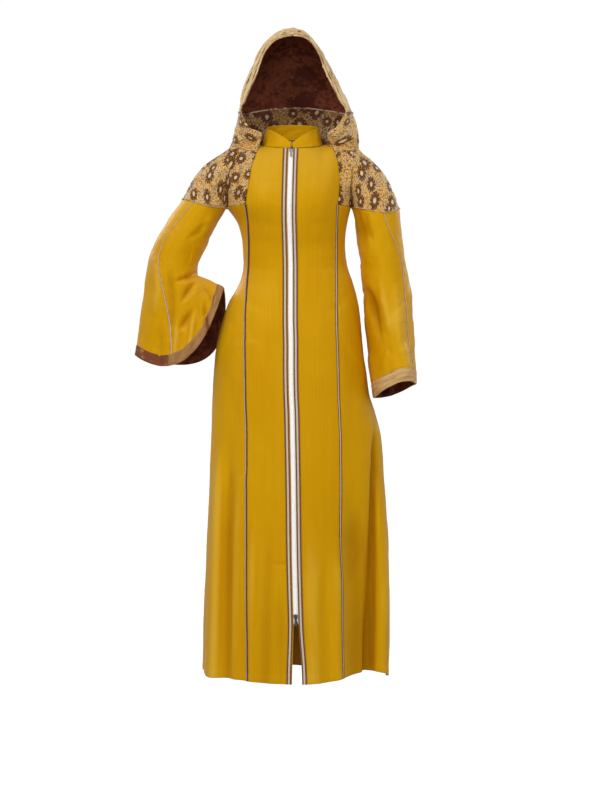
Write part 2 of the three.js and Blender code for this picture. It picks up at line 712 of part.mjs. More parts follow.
// Where the hood's funnel stands on the yokes.
function yokeSeat(round) {
  const sign = round < 0 ? -1 : 1;
  const along = 1 - Math.abs(round);
  const isFront = along < hoodSideAt;
  const share = Math.max(isFront ? along / hoodSideAt : (along - hoodSideAt) / (1 - hoodSideAt), 0);
  const across = isFront ? mix(0.4, 0.93, Math.sin(share * quarter)) : 0.93 * Math.cos(share * quarter);
  const rise = isFront ? mix(0.78, 1, share ** 1.4) : mix(1, 0.62, smooth(share, 0, 0.8));
  const level = armpitZ * (1 - rise);
  const point = bodyPoint(isFront, sign * across, level);
  const leaning = isFront ? -0.3 * (1 - share) : 1.6 * share;
  const outward = new THREE.Vector3(0.15 * sign * across, leaning, 1).normalize();
  return point.addScaledVector(outward, seatGap + cloth);
}

function hoodBasePoint(round, row) {
  if (row >= 1) return hoodPoint(round, row);
  return yokeSeat(round).lerp(hoodPoint(round, 1), row);
}

const hoodColumns = 14;
const hoodCore = () => new THREE.Vector3(5, 20, 80);

function addHood() {
  const baseColumns = hoodColumns * 2;
  add("hood_base", wall({
    surface: hoodBasePoint,
    columns: baseColumns,
    rows: hoodSeamRow,
    core: hoodCore,
    steps: [0.01, 0.02],
    at: (i, j) => [mix(-1, 1, i / baseColumns), j - (j === hoodSeamRow ? 0.008 : 0)],
  }), brocadeMaterial());
  add("piping_hood", wall({
    surface: hoodBasePoint,
    columns: baseColumns,
    rows: 2,
    core: hoodCore,
    steps: [0.01, 0.02],
    out: 0.5 + pipingHeight * 0.6,
    thickness: pipingHeight * 0.6,
    crown: (i, j) => (j === 1 ? pipingHeight * 0.4 : 0),
    at: (i, j) => [mix(-1, 1, i / baseColumns), hoodSeamRow - 0.14 + 0.05 * j],
  }), pipingMaterial());
  const lastRow = hoodRows.length - 1;
  const hoodParting = 1.05;
  for (const { name, sign } of sides) {
    add(`hood_${name}`, wall({
      surface: (round, row) => {
        const point = hoodPoint(round, row);
        point.x += sign * hoodParting;
        return point;
      },
      columns: hoodColumns,
      rows: lastRow - hoodSeamRow,
      core: () => new THREE.Vector3(5, 30, 180),
      steps: [0.01, 0.02],
      thickness: velvet,
      at: (i, j) => [sign * mix(1, 0.0005, i / hoodColumns), hoodSeamRow + j + (j === 0 ? 0.024 : 0)],
    }), velvetMaterial());
  }
}

// Stand collar, from the right of the zip round the back to the left of it.
function collarPoint(round, up) {
  const sign = round < 0 ? -1 : 1;
  const along = 1 - Math.abs(round);
  const base = neckPoint(along);
  const height = column(collarRows, "at", "height", along);
  const lean = 1 - (collarLean * up * smooth(along, 0, 0.35)) / neckHalfWidth;
  return new THREE.Vector3(sign * base.x * lean - 3 * (1 - along), base.y * lean, base.z + 1.2 + up * height);
}

function addCollar() {
  const around = 26;
  const tall = 3;
  const ends = 0.982;
  add("collar", wall({
    surface: collarPoint,
    columns: around,
    rows: tall,
    core: () => new THREE.Vector3(0, 0, 30),
    steps: [0.006, 0.02],
    at: (i, j) => [mix(-ends, ends, i / around), j / tall],
  }), satinMaterial());
}

// Zip tapes lie behind the panels' edges, and the closed chain stands between the edges.
function addZip() {
  const tapeOut = -(cloth + tapeGap);
  for (const { name, sign } of sides) {
    add(`zip_tape_${name}`, wall({
      surface: frontSurface,
      columns: 2,
      rows: topRow,
      out: tapeOut,
      thickness: zipTape,
      core: bodyCore,
      at: (i, j) => {
        const level = Math.min(levels[j], -1);
        const near = slotHalf(level) - zipSlot + 0.3 + (level < zipBottomZ ? 1.5 : 0);
        const from = zipX(level) + sign * near;
        return [acrossAt(from + (sign * zipTapeWidth * i) / 2, level), level];
      },
    }), tapeMaterial());
    add(`braid_${name}`, wall({
      surface: frontSurface,
      columns: 2,
      rows: topRow,
      out: 1 + braidThickness,
      thickness: braidThickness,
      core: bodyCore,
      at: (i, j) => {
        const level = Math.min(levels[j], -1);
        const from = zipX(level) + sign * (slotHalf(level) - zipSlot + braidFrom);
        return [acrossAt(from + (sign * braidWidth * i) / 2, level), level];
      },
    }), braidMaterial());
    add(`piping_front_${name}`, wall({
      surface: frontSurface,
      columns: 2,
      rows: topRow - shoulderSteps,
      out: 0.6 + pipingHeight * 0.6,
      thickness: pipingHeight * 0.6,
      crown: (i) => (i === 1 ? pipingHeight * 0.4 : 0),
      core: bodyCore,
      at: (i, j) => {
        const level = Math.min(levels[j], armpitZ - 4);
        return [acrossAt(seamX(sign, level) + ((i - 1) * pipingWidth) / 2, level), level];
      },
    }), pipingMaterial());
  }
  const chainRows = levels.filter((level) => level > zipBottomZ + 20 && level < zipTopZ - 12);
  chainRows.unshift(zipBottomZ + 7);
  chainRows.push(zipTopZ - 7);
  add("zip_chain", wall({
    surface: frontSurface,
    columns: 2,
    rows: chainRows.length - 1,
    out: tapeOut + 0.3 + chainThickness,
    thickness: chainThickness,
    core: bodyCore,
    at: (i, j) => {
      const level = chainRows[j];
      return [acrossAt(zipX(level) + ((i - 1) * chainWidth) / 2, level), level];
    },
  }), teethMaterial());
}

// A solid for manifold-3d from a geometry.
function solid(geometry) {
  const bare = geometry.clone();
  bare.deleteAttribute("normal");
  bare.deleteAttribute("uv");
  const merged = mergeVertices(bare, 1e-4);
  return new wasm.Manifold(new wasm.Mesh({
    numProp: 3,
    vertProperties: new Float32Array(merged.attributes.position.array),
    triVerts: new Uint32Array(merged.index.array),
  }));
}

function fromSolid(shape) {
  const mesh = shape.getMesh();
  const geometry = new THREE.BufferGeometry();
  geometry.setAttribute("position", new THREE.Float32BufferAttribute(mesh.vertProperties, 3));
  geometry.setIndex([...mesh.triVerts]);
  return geometry;
}

// A slider: a wedge-sided body with a bail over its front, as one solid in the x-z plane.
// The pull's bar lies in the bail, and the bar's middle is the hinge.
const slider = { width: 10, length: 11, depth: 3, bailWidth: 1.6, bailLength: 7, bailHeight: 4.4, bailWire: 1.2 };
const pull = { width: 6.4, thickness: 1.2, bar: 1.2, slot: 3.2, slotLength: 3.4, length: 24 };
const hingeOffset = 1.9;

function sliderGeometry() {
  const half = slider.width / 2;
  const outline = new THREE.Shape();
  outline.moveTo(-half, slider.length / 2);
  outline.lineTo(half, slider.length / 2);
  outline.lineTo(half, -1);
  outline.lineTo(half * 0.62, -slider.length / 2);
  outline.lineTo(-half * 0.62, -slider.length / 2);
  outline.lineTo(-half, -1);
  outline.closePath();
  const body = new THREE.ExtrudeGeometry(outline, { depth: slider.depth, bevelEnabled: false });
  body.rotateX(quarter);
  body.translate(0, slider.depth, 0);
  const arch = new THREE.Shape();
  const tall = slider.bailLength / 2;
  arch.moveTo(0.8, -tall);
  arch.lineTo(0.8, tall);
  arch.lineTo(-slider.bailHeight * 0.6, tall);
  arch.lineTo(-slider.bailHeight, tall * 0.6);
  arch.lineTo(-slider.bailHeight, -tall * 0.6);
  arch.lineTo(-slider.bailHeight * 0.6, -tall);
  arch.closePath();
  const inside = new THREE.Path();
  const room = tall - slider.bailWire;
  inside.moveTo(-0.3, -room);
  inside.lineTo(-slider.bailHeight + slider.bailWire, -room);
  inside.lineTo(-slider.bailHeight + slider.bailWire, room);
  inside.lineTo(-0.3, room);
  inside.closePath();
  arch.holes.push(inside);
  const bail = new THREE.ExtrudeGeometry(arch, { depth: slider.bailWidth, bevelEnabled: false });
  bail.translate(0, 0, -slider.bailWidth / 2);
  const turned = new THREE.Matrix4().makeBasis(
    new THREE.Vector3(0, 1, 0),
    new THREE.Vector3(0, 0, 1),
    new THREE.Vector3(1, 0, 0),
  );
  bail.applyMatrix4(turned);
  return fromSolid(solid(body).add(solid(bail)));
}

// The pull tab hangs from its bar at the origin, with a ring-shaped end.
function pullGeometry() {
  const half = pull.width / 2;
  const top = pull.bar / 2;
  const shape = new THREE.Shape();
  shape.moveTo(-half + 1, top);
  shape.lineTo(half - 1, top);
  shape.lineTo(half, top - 1);
  shape.lineTo(half * 0.75, -pull.length * 0.5);
  shape.lineTo(half, -pull.length + half);
  shape.absarc(0, -pull.length + half, half, 0, -Math.PI, true);
  shape.lineTo(-half * 0.75, -pull.length * 0.5);
  shape.lineTo(-half, top - 1);
  shape.closePath();
  const eye = new THREE.Path();
  eye.moveTo(-pull.slot / 2, -pull.bar / 2);
  eye.lineTo(-pull.slot / 2, -pull.bar / 2 - pull.slotLength);
  eye.lineTo(pull.slot / 2, -pull.bar / 2 - pull.slotLength);
  eye.lineTo(pull.slot / 2, -pull.bar / 2);
  eye.closePath();
  shape.holes.push(eye);
  const ring = new THREE.Path();
  ring.absarc(0, -pull.length + half, half - 1.5, 0, Math.PI * 2, false);
  shape.holes.push(ring);
  const plate = new THREE.ExtrudeGeometry(shape, { depth: pull.thickness, bevelEnabled: false, curveSegments: 8 });
  plate.rotateX(quarter);
  plate.translate(0, pull.thickness / 2, 0);
  return fromSolid(solid(plate));
}

// The slider's back rests just in front of the tapes, between the panels' edges, and it leans
// with the cloth.
function addSlider(name, level) {
  const reach = slider.length / 2;
  const at = (trial) => bodyPoint(true, acrossAt(zipX(trial), trial), trial);
  const middle = at(level);
  const up = at(level + reach).sub(at(level - reach));
  const lean = new THREE.Matrix4().makeRotationX(Math.atan2(-up.y, up.z));
  const forward = new THREE.Vector3(0, -1, 0).applyMatrix4(lean);
  const face = middle.clone().addScaledVector(forward, slider.depth - cloth - tapeGap + seamGap);
  const body = sliderGeometry();
  body.applyMatrix4(lean);
  body.translate(face.x, face.y, face.z);
  add(`zip_slider_${name}`, body, steelMaterial());
  const hinge = face.clone().addScaledVector(forward, hingeOffset);
  const tab = pullGeometry();
  tab.applyMatrix4(lean);
  tab.translate(hinge.x, hinge.y, hinge.z);
  add(`zip_pull_${name}`, tab, steelMaterial());
}

for (const side of sides) addFrontPanels(side);
addBack();
addYokes();
for (const side of sides) addSleeve(side);
addHood();
addCollar();
addZip();
addSlider("top", zipTopZ);
addSlider("bottom", zipBottomZ);

export default kaftan;
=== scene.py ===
import math
from functools import partial

import bpy
import numpy as np
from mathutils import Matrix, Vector


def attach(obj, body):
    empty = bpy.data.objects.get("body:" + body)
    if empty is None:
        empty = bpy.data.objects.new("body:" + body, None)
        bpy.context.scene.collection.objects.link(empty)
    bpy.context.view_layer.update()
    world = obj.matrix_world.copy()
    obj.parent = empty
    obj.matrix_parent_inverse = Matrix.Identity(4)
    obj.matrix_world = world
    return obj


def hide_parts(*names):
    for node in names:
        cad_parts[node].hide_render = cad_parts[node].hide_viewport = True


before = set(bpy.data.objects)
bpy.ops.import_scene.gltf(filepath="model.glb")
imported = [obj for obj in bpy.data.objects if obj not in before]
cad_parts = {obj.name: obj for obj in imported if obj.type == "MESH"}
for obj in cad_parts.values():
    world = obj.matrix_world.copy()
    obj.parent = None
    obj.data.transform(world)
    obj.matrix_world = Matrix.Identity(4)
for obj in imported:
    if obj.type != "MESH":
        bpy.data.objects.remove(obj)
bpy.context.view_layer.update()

# Places below are in millimetres, in the garment's own frame: +Z up, the front faces -Y,
# and the wearer's left is +X. They become metres where a mesh is made.
toMetres = 0.001
quarterTurn = math.pi / 2


def smoothstep(value, low, high):
    t = np.clip((value - low) / (high - low), 0, 1)
    return t * t * (3 - 2 * t)


def blendTo(a, b, t):
    return a + (b - a) * t


def hermite(places, values, at):
    slopes = np.empty(len(values))
    slopes[1:-1] = (values[2:] - values[:-2]) / (places[2:] - places[:-2])
    slopes[0] = (values[1] - values[0]) / (places[1] - places[0])
    slopes[-1] = (values[-1] - values[-2]) / (places[-1] - places[-2])
    i = np.clip(np.searchsorted(places, at, side="right") - 1, 0, len(values) - 2)
    span = places[i + 1] - places[i]
    t = np.clip((at - places[i]) / span, 0, 1)
    t2, t3 = t * t, t * t * t
    start = (2 * t3 - 3 * t2 + 1) * values[i] + (t3 - 2 * t2 + t) * span * slopes[i]
    return start + (3 * t2 - 2 * t3) * values[i + 1] + (t3 - t2) * span * slopes[i + 1]


def table(names, rows):  # the rows' columns by name
    return dict(zip(names.split(), np.array(rows, float).T))


def column(rows, along, name, at):  # smooth value of one column between the rows
    order = np.argsort(rows[along])
    return hermite(rows[along][order], rows[name][order], np.asarray(at, float))


def numbered(rows, name, at):  # the same, for rows that are simply counted
    return hermite(np.arange(len(rows[name]), dtype=float), rows[name], np.asarray(at, float))


print("camera and light")

view = {"x": 0.0175, "distance": 4.3, "z": -0.625, "heightAtPlane": 2.0, "sensor": 36}  # in metres


def addCamera():
    lens = view["sensor"] * view["distance"] / view["heightAtPlane"]
    data = bpy.data.cameras.new("photoCamera")
    data.sensor_fit = "VERTICAL"
    data.sensor_height = view["sensor"]
    data.lens = lens
    camera = bpy.data.objects.new("photoCamera", data)
    camera.location = (view["x"], -view["distance"], view["z"])
    camera.rotation_euler = (quarterTurn, 0, 0)
    bpy.context.collection.objects.link(camera)
    bpy.context.scene.camera = camera


lights = [
    {"name": "frontLight", "at": (-0.4, -4.8, 0.3), "aim": (0, 0, 0.1), "size": 1.2, "power": 38},
    {"name": "keyLight", "at": (-2.6, -3.4, 2.3), "aim": (0, 0, 0.1), "size": 2.4, "power": 71},
    {"name": "fillLight", "at": (2.6, -3.6, 1.5), "aim": (0.1, 0, -0.2), "size": 2.4, "power": 34},
    {"name": "backRight", "at": (-2.2, 2.2, 1.4), "aim": (0, 0, -0.3), "size": 1.8, "power": 30},
    {"name": "backLeft", "at": (2.4, 2.0, 1.2), "aim": (0, 0, -0.3), "size": 1.8, "power": 30},
]

# The room's even light, how white it looks, and its floor in millimetres.
room = {"light": 0.4, "white": 1.02, "floorReach": 12000.0, "floorLevel": -1500.0}


def addLights():
    for light in lights:
        data = bpy.data.lights.new(light["name"], "AREA")
        data.size = light["size"]
        data.energy = light["power"]
        lamp = bpy.data.objects.new(light["name"], data)
        lamp.location = light["at"]
        aim = Vector(light["aim"]) - Vector(light["at"])
        lamp.rotation_euler = aim.to_track_quat("-Z", "Y").to_euler()
        bpy.context.collection.objects.link(lamp)
    world = bpy.data.worlds.new("studio")
    world.use_nodes = True
    tree = world.node_tree
    soft = tree.nodes["Background"]  # the even light of a white room
    seen = tree.nodes.new("ShaderNodeBackground")  # the room itself, plain white
    for background, strength in ((soft, room["light"]), (seen, room["white"])):
        background.inputs["Color"].default_value = (1, 1, 1, 1)
        background.inputs["Strength"].default_value = strength
    path = tree.nodes.new("ShaderNodeLightPath")
    mix = tree.nodes.new("ShaderNodeMixShader")
    tree.links.new(path.outputs["Is Camera Ray"], mix.inputs["Fac"])
    tree.links.new(soft.outputs["Background"], mix.inputs[1])
    tree.links.new(seen.outputs["Background"], mix.inputs[2])
    tree.links.new(mix.outputs["Shader"], tree.nodes["World Output"].inputs["Surface"])
    bpy.context.scene.world = world
    bpy.context.scene.view_settings.view_transform = "Standard"


addCamera()
addLights()

print("shaders")


class Wire:  # one socket, with arithmetic
    def __init__(self, tree, socket=None):
        self.tree = tree
        self.socket = socket

    def node(self, kind, settings=None, output=0, inputs=None):
        made = self.tree.nodes.new(kind)
        for name, value in (settings or {}).items():
            if name == "stops":
                self.setStops(made.color_ramp, value)
            elif name == "interpolation":
                made.color_ramp.interpolation = value
            else:
                setattr(made, name, value)
        for name, value in (inputs or {}).items():
            target = made.inputs[name]
            if isinstance(value, Wire):
                self.tree.links.new(value.socket, target)
            else:
                target.default_value = value
        return Wire(self.tree, made.outputs[output])

    def setStops(self, ramp, stops):
        while len(ramp.elements) < len(stops):
            ramp.elements.new(1)
        for element, (place, colour) in zip(ramp.elements, stops):
            element.position = place
            element.color = (*colour, 1)

    def calc(self, operation, *values):
        return self.node("ShaderNodeMath", {"operation": operation}, 0, dict(enumerate(values)))

    def __add__(self, other):
        return self.calc("ADD", self, other)

    def __sub__(self, other):
        return self.calc("SUBTRACT", self, other)

    def __mul__(self, other):
        return self.calc("MULTIPLY", self, other)

    def __truediv__(self, other):
        return self.calc("DIVIDE", self, other)

    def __gt__(self, other):
        return self.calc("GREATER_THAN", self, other)

    def __lt__(self, other):
        return self.calc("LESS_THAN", self, other)

    def __radd__(self, other):
        return self.calc("ADD", other, self)

    def __rsub__(self, other):
        return self.calc("SUBTRACT", other, self)

    def __rmul__(self, other):
        return self.calc("MULTIPLY", other, self)

    def ease(self, low, high):  # 0 at low, 1 at high, smooth between
        inputs = {"Value": self, "From Min": low, "From Max": high}
        return self.node("ShaderNodeMapRange", {"interpolation_type": "SMOOTHSTEP"}, 0, inputs)

    def blend(self, dark, light):  # a colour between two, by this value
        mixed = self.tree.nodes.new("ShaderNodeMix")
        mixed.data_type = "RGBA"
        self.tree.links.new(self.socket, mixed.inputs[0])
        for socket, colour in ((mixed.inputs[6], dark), (mixed.inputs[7], light)):
            if isinstance(colour, Wire):
                self.tree.links.new(colour.socket, socket)
            else:
                socket.default_value = (*colour, 1)
        return Wire(self.tree, mixed.outputs[2])


def linear(red, green, blue):  # a colour as an eye names it, 0 to 255, for a shader
    def one(value):
        share = value / 255
        return share / 12.92 if share <= 0.04045 else ((share + 0.055) / 1.055) ** 2.4
    return (one(red), one(green), one(blue))


def newMaterial(name, fixed):
    made = bpy.data.materials.new(name)
    made.use_nodes = True
    shader = made.node_tree.nodes["Principled BSDF"]
    for socket, value in fixed.items():
        shader.inputs[socket].default_value = value
    return made, Wire(made.node_tree), shader


def finishMaterial(wire, shader, colour, roughness, height, depth, strength=1.0):
    bump = wire.node("ShaderNodeBump", {}, 0, {"Height": height, "Strength": strength, "Distance": depth})
    wire.tree.links.new(colour.socket, shader.inputs["Base Color"])
    if isinstance(roughness, Wire):
        wire.tree.links.new(roughness.socket, shader.inputs["Roughness"])
    else:
        shader.inputs["Roughness"].default_value = roughness
    wire.tree.links.new(bump.socket, shader.inputs["Normal"])


def clothCoordinates(wire):  # across and along the cloth in millimetres
    uv = wire.node("ShaderNodeUVMap", {"uv_map": "cloth"})
    scaled = wire.node("ShaderNodeVectorMath", {"operation": "SCALE"}, 0, {"Vector": uv, "Scale": 1000.0})
    across = wire.node("ShaderNodeSeparateXYZ", {}, 0, {"Vector": scaled})
    along = wire.node("ShaderNodeSeparateXYZ", {}, 1, {"Vector": scaled})
    return scaled, across, along


def noise(wire, vector, scale, detail=2.0, roughness=0.5):
    inputs = {"Vector": vector, "Scale": scale, "Detail": detail, "Roughness": roughness}
    return wire.node("ShaderNodeTexNoise", {}, 0, inputs)


def stretched(wire, vector, x, y, z=1.0):
    return wire.node("ShaderNodeMapping", {}, 0, {"Vector": vector, "Scale": (x, y, z)})


# Two of the tones below are a painted highlight and painted shade, for folds and for cloth facing up or down.
satin = {
    "light": linear(224, 168, 10), "dark": linear(214, 154, 4), "shade": linear(186, 122, 0),
    "paintedShadeTone": linear(150, 84, 4), "paleAndPaintedHighlight": linear(242, 196, 70), "roughness": 0.44,
    "crepePerMm": 1.7, "crepeDepth": 0.05, "grainPerMm": 0.22, "grainDepth": 0.10,
    "sheenTint": linear(250, 200, 60), "shineTint": linear(255, 214, 90),
    "trough": (1.2, 13), "ridge": (1.5, 12),  # from how many millimetres of trough a fold gets painted shade, and of ridge a painted highlight
}
shadedWrongSatin = {  # the dull wrong side, made darker as painted shade, which shows in the slit and at the hem
    "light": linear(176, 116, 36), "dark": linear(158, 100, 28), "shade": linear(126, 76, 16),
    "paintedShadeTone": linear(104, 60, 14), "paleAndPaintedHighlight": linear(190, 134, 60), "roughness": 0.6,
}


def satinMaterial(name, tones):
    fixed = {"Sheen Weight": 0.06, "Sheen Roughness": 0.4, "Sheen Tint": (*tones["sheenTint"], 1),
             "Specular IOR Level": 0.3, "Specular Tint": (*tones["shineTint"], 1)}
    made, wire, shader = newMaterial(name, fixed)
    cloth = clothCoordinates(wire)[0]
    place = wire.node("ShaderNodeTexCoord", {}, 3)
    broad = noise(wire, place, 4.0, 2.0)
    crepe = noise(wire, stretched(wire, cloth, 1.0, 0.5), tones["crepePerMm"], 3.0, 0.6)
    grain = noise(wire, stretched(wire, cloth, 1.0, 0.02), tones["grainPerMm"], 3.0, 0.6)
    colour = (broad.ease(0.3, 0.7) * 0.6 + grain.ease(0.3, 0.7) * 0.4).blend(tones["dark"], tones["light"])
    colour = (crepe.ease(0.45, 0.75) * 0.3).blend(colour, tones["shade"])
    # Painted shade in the folds' troughs and a painted highlight on their ridges, from how far the cloth
    # rises there.
    fold = wire.node("ShaderNodeAttribute", {"attribute_name": "hollow"}, 2)
    colour = ((0 - fold).ease(*tones["trough"]) * 0.6).blend(colour, tones["paintedShadeTone"])
    colour = (fold.ease(*tones["ridge"]) * 0.6).blend(colour, tones["paleAndPaintedHighlight"])
    # Painted highlight where the cloth faces up, and painted shade where it faces down.
    facing = wire.node("ShaderNodeNewGeometry", {}, 1)
    upward = wire.node("ShaderNodeSeparateXYZ", {}, 2, {"Vector": facing})
    colour = (upward.ease(0.12, 0.6) * 0.3).blend(colour, tones["paleAndPaintedHighlight"])
    colour = ((0 - upward).ease(0.2, 0.8) * 0.3).blend(colour, tones["paintedShadeTone"])
    height = crepe * tones["crepeDepth"] + grain * tones["grainDepth"]
    roughness = crepe * 0.1 + (tones["roughness"] - 0.05)
    finishMaterial(wire, shader, colour, roughness, height, 0.001, 1.0)
    return made


brocade = {
    "cream": linear(242, 206, 136), "gold": linear(202, 140, 30), "white": linear(222, 218, 206),
    "bud": linear(116, 56, 24), "petal": linear(76, 24, 12), "heart": linear(232, 204, 150),
    "eye": linear(206, 214, 220), "cell": 44.0, "petalFrom": 5.4, "petalTo": 16.5, "petals": 11,
    "eyeCell": 25.0, "eyeRadius": 3.3, "beadCell": 3.1, "relief": 0.0006, "beadEdge": (1.1, 1.7),
    "whiteBeads": 0.86, "budBeads": 0.19, "vinePerMm": 0.075, "vineEdge": (0.012, 0.03),
    "eyeShift": (13.0, 7.0, 0.0), "eyesLeftOut": 0.3, "threadPerMm": 8.0,
}
shadedInsideBrocade = {  # the inside of the hood's funnel: the same colours made darker, as painted shade
    "cream": linear(196, 150, 78), "gold": linear(126, 78, 22), "white": linear(196, 188, 172),
    "bud": linear(74, 40, 24), "heart": linear(178, 140, 90), "eye": linear(170, 176, 184),
}


# Scattered spots: the distance in millimetres to the nearest one, its centre and its chance.
def spots(wire, cloth, cell, randomness):
    kind = {"voronoi_dimensions": "2D"}
    inputs = {"Vector": cloth, "Scale": 1 / cell, "Randomness": randomness}
    distance, tint, centre = [wire.node("ShaderNodeTexVoronoi", kind, output, inputs) for output in range(3)]
    chance = wire.node("ShaderNodeSeparateColor", {}, 0, {"Color": tint})
    return distance * cell, centre, chance


def brocadeMaterial(name, tones):
    fixed = {"Sheen Weight": 0.02, "Sheen Roughness": 0.5, "Specular IOR Level": 0.22}
    made, wire, shader = newMaterial(name, fixed)
    cloth, across, along = clothCoordinates(wire)
    bead, beadCentre, beadChance = spots(wire, cloth, tones["beadCell"], 0.85)
    beads = 1 - bead.ease(*tones["beadEdge"])
    colour = beads.blend(tones["gold"], tones["cream"])
    colour = (beads * (beadChance > tones["whiteBeads"])).blend(colour, tones["white"])
    colour = (beads * (beadChance < tones["budBeads"])).blend(colour, tones["bud"])
    vine = noise(wire, cloth, tones["vinePerMm"], 2.0)
    vines = 1 - wire.calc("ABSOLUTE", vine - 0.5).ease(*tones["vineEdge"])
    colour = (vines * 0.55).blend(colour, tones["gold"])
    distance, centre, chance = spots(wire, cloth, tones["cell"], 0.75)
    away = wire.node("ShaderNodeVectorMath", {"operation": "SUBTRACT"}, 0, {0: cloth, 1: centre})
    awayX = wire.node("ShaderNodeSeparateXYZ", {}, 0, {"Vector": away})
    awayY = wire.node("ShaderNodeSeparateXYZ", {}, 1, {"Vector": away})
    turn = wire.calc("ARCTAN2", awayY, awayX)
    wobble = noise(wire, cloth, 0.12, 2.0)
    radius = distance * (chance * 0.4 + 0.8) + wobble * 3.0 - 1.5
    lobes = wire.calc("SINE", turn * tones["petals"] + chance * 6.3)
    band = radius.ease(tones["petalFrom"] - 0.6, tones["petalFrom"] + 0.8) * (
        1 - (radius - lobes * 1.2).ease(tones["petalTo"] - 2.0, tones["petalTo"]))
    slits = lobes.ease(-1.0, -0.5) * 0.7 + 0.3
    inner = 1 - radius.ease(9.0, 12.0)
    speckle = bead.ease(1.0, 1.6)
    petals = band * wire.calc("MAXIMUM", slits, inner) * (1 - speckle * 0.3)
    heart = 1 - radius.ease(tones["petalFrom"] - 1.4, tones["petalFrom"])
    colour = (heart * 0.9).blend(colour, tones["heart"])
    colour = ((1 - radius.ease(2.6, 3.4)) * 0.9).blend(colour, tones["white"])
    colour = petals.blend(colour, tones["petal"])
    shifted = wire.node("ShaderNodeVectorMath", {"operation": "ADD"}, 0, {0: cloth, 1: tones["eyeShift"]})
    eyeDistance, eyeCentre, eyeChance = spots(wire, shifted, tones["eyeCell"], 0.95)
    showing = (eyeChance > tones["eyesLeftOut"]) * (1 - band)
    colour = (showing * (1 - eyeDistance.ease(4.0, 4.6))).blend(colour, tones["bud"])
    colour = (showing * (1 - eyeDistance.ease(2.7, tones["eyeRadius"]))).blend(colour, tones["eye"])
    colour = (showing * (1 - eyeDistance.ease(0.7, 1.3))).blend(colour, tones["bud"])
    threads = tones["threadPerMm"]
    weave = wire.calc("SINE", across * threads) * wire.calc("SINE", along * threads)
    height = beads * 0.4 + petals * 0.6 + weave * 0.1
    finishMaterial(wire, shader, colour, 0.52, height, tones["relief"], 0.8)
    return made


velvet = {
    # The two cuff tans are one velvet's tan, made darker and lighter as painted shade and painted light.
    "tan": linear(246, 214, 160), "brown": linear(112, 62, 36), "cuffTanShaded": linear(178, 134, 84),
    "cuffTanLit": linear(224, 184, 122), "cuffBrown": linear(128, 70, 42), "lining": linear(128, 66, 40),
    "liningDeep": linear(86, 36, 22), "pile": 1.6, "foldShade": 0.07,
    "napPerMm": 0.16, "crushedPerMm": 0.13, "mottlePerMm": 0.03, "sheenEdgeHalf": 0.012,
}


# Panne velvet: its pressed pile reads lighter or darker by the way it lies, with painted sheen where it is
# seen edge-on and painted shade and highlight from the folds mixed in. streaks is how long the crushed marks
# are, share how much of it is dark, and rim how far they run along the edge.
def velvetMaterial(name, paleAndPaintedHighlight, dark, sheen, streaks, share, paintedSheenFrom=None, rim=None):
    fixed = {"Sheen Weight": sheen, "Sheen Roughness": 0.35, "Sheen Tint": (*paleAndPaintedHighlight, 1),
             "Specular IOR Level": 0.22}
    made, wire, shader = newMaterial(name, fixed)
    cloth, across = clothCoordinates(wire)[:2]
    nap = noise(wire, stretched(wire, cloth, *streaks), velvet["napPerMm"], 4.0, 0.62)
    if rim:  # farther from the edge than this the pile is crushed every way
        far = across.ease(rim, rim + 60)
        kept = nap * (1 - far)
        nap = kept + noise(wire, stretched(wire, cloth, 0.6, 0.4), velvet["crushedPerMm"], 3.0, 0.55) * far
    mottle = noise(wire, cloth, velvet["mottlePerMm"], 3.0, 0.6)
    pile = noise(wire, cloth, velvet["pile"], 2.0)
    # Painted sheen: the velvet is made lighter where it is seen edge-on.
    facing = wire.node("ShaderNodeLayerWeight", {}, 1, {"Blend": 0.3})
    # Painted shade in the folds' troughs and a painted highlight on their ridges.
    fold = wire.node("ShaderNodeAttribute", {"attribute_name": "hollow"}, 2)
    napAndPaintedLight = nap * 0.65 + mottle * 0.35 + pile * 0.08 + facing * 0.12 + fold * velvet["foldShade"]
    if paintedSheenFrom:  # beyond this place across the garment the velvet is painted lighter, and before it darker: painted sheen and painted shade, where it catches the light and where it does not
        place = wire.node("ShaderNodeTexCoord", {}, 3)
        side = wire.node("ShaderNodeSeparateXYZ", {}, 0, {"Vector": place})
        napAndPaintedLight = napAndPaintedLight + side.ease(paintedSheenFrom - velvet["sheenEdgeHalf"], paintedSheenFrom + velvet["sheenEdgeHalf"]) * 0.5 - 0.25
    shade = napAndPaintedLight.ease(share - 0.04, share + 0.14)
    colour = shade.blend(dark, paleAndPaintedHighlight)
    colour = (nap.ease(0.62, 0.38) * 0.4).blend(colour, dark)
    height = pile * 0.2 + nap * 0.5
    finishMaterial(wire, shader, colour, 0.8, height, 0.0008, 0.8)
    return made


braid = {
    "edge": linear(176, 112, 44), "brown": linear(112, 66, 48), "cream": linear(232, 214, 186),
    "shadow": linear(84, 48, 30), "width": 12.0, "twistMm": 1.7,
    "stripes": [(0.0, "edge"), (0.08, "edge"), (0.12, "brown"), (0.28, "brown"), (0.33, "cream"),
                (0.65, "cream"), (0.7, "brown"), (0.88, "brown"), (0.92, "edge"), (1.0, "edge")],
}


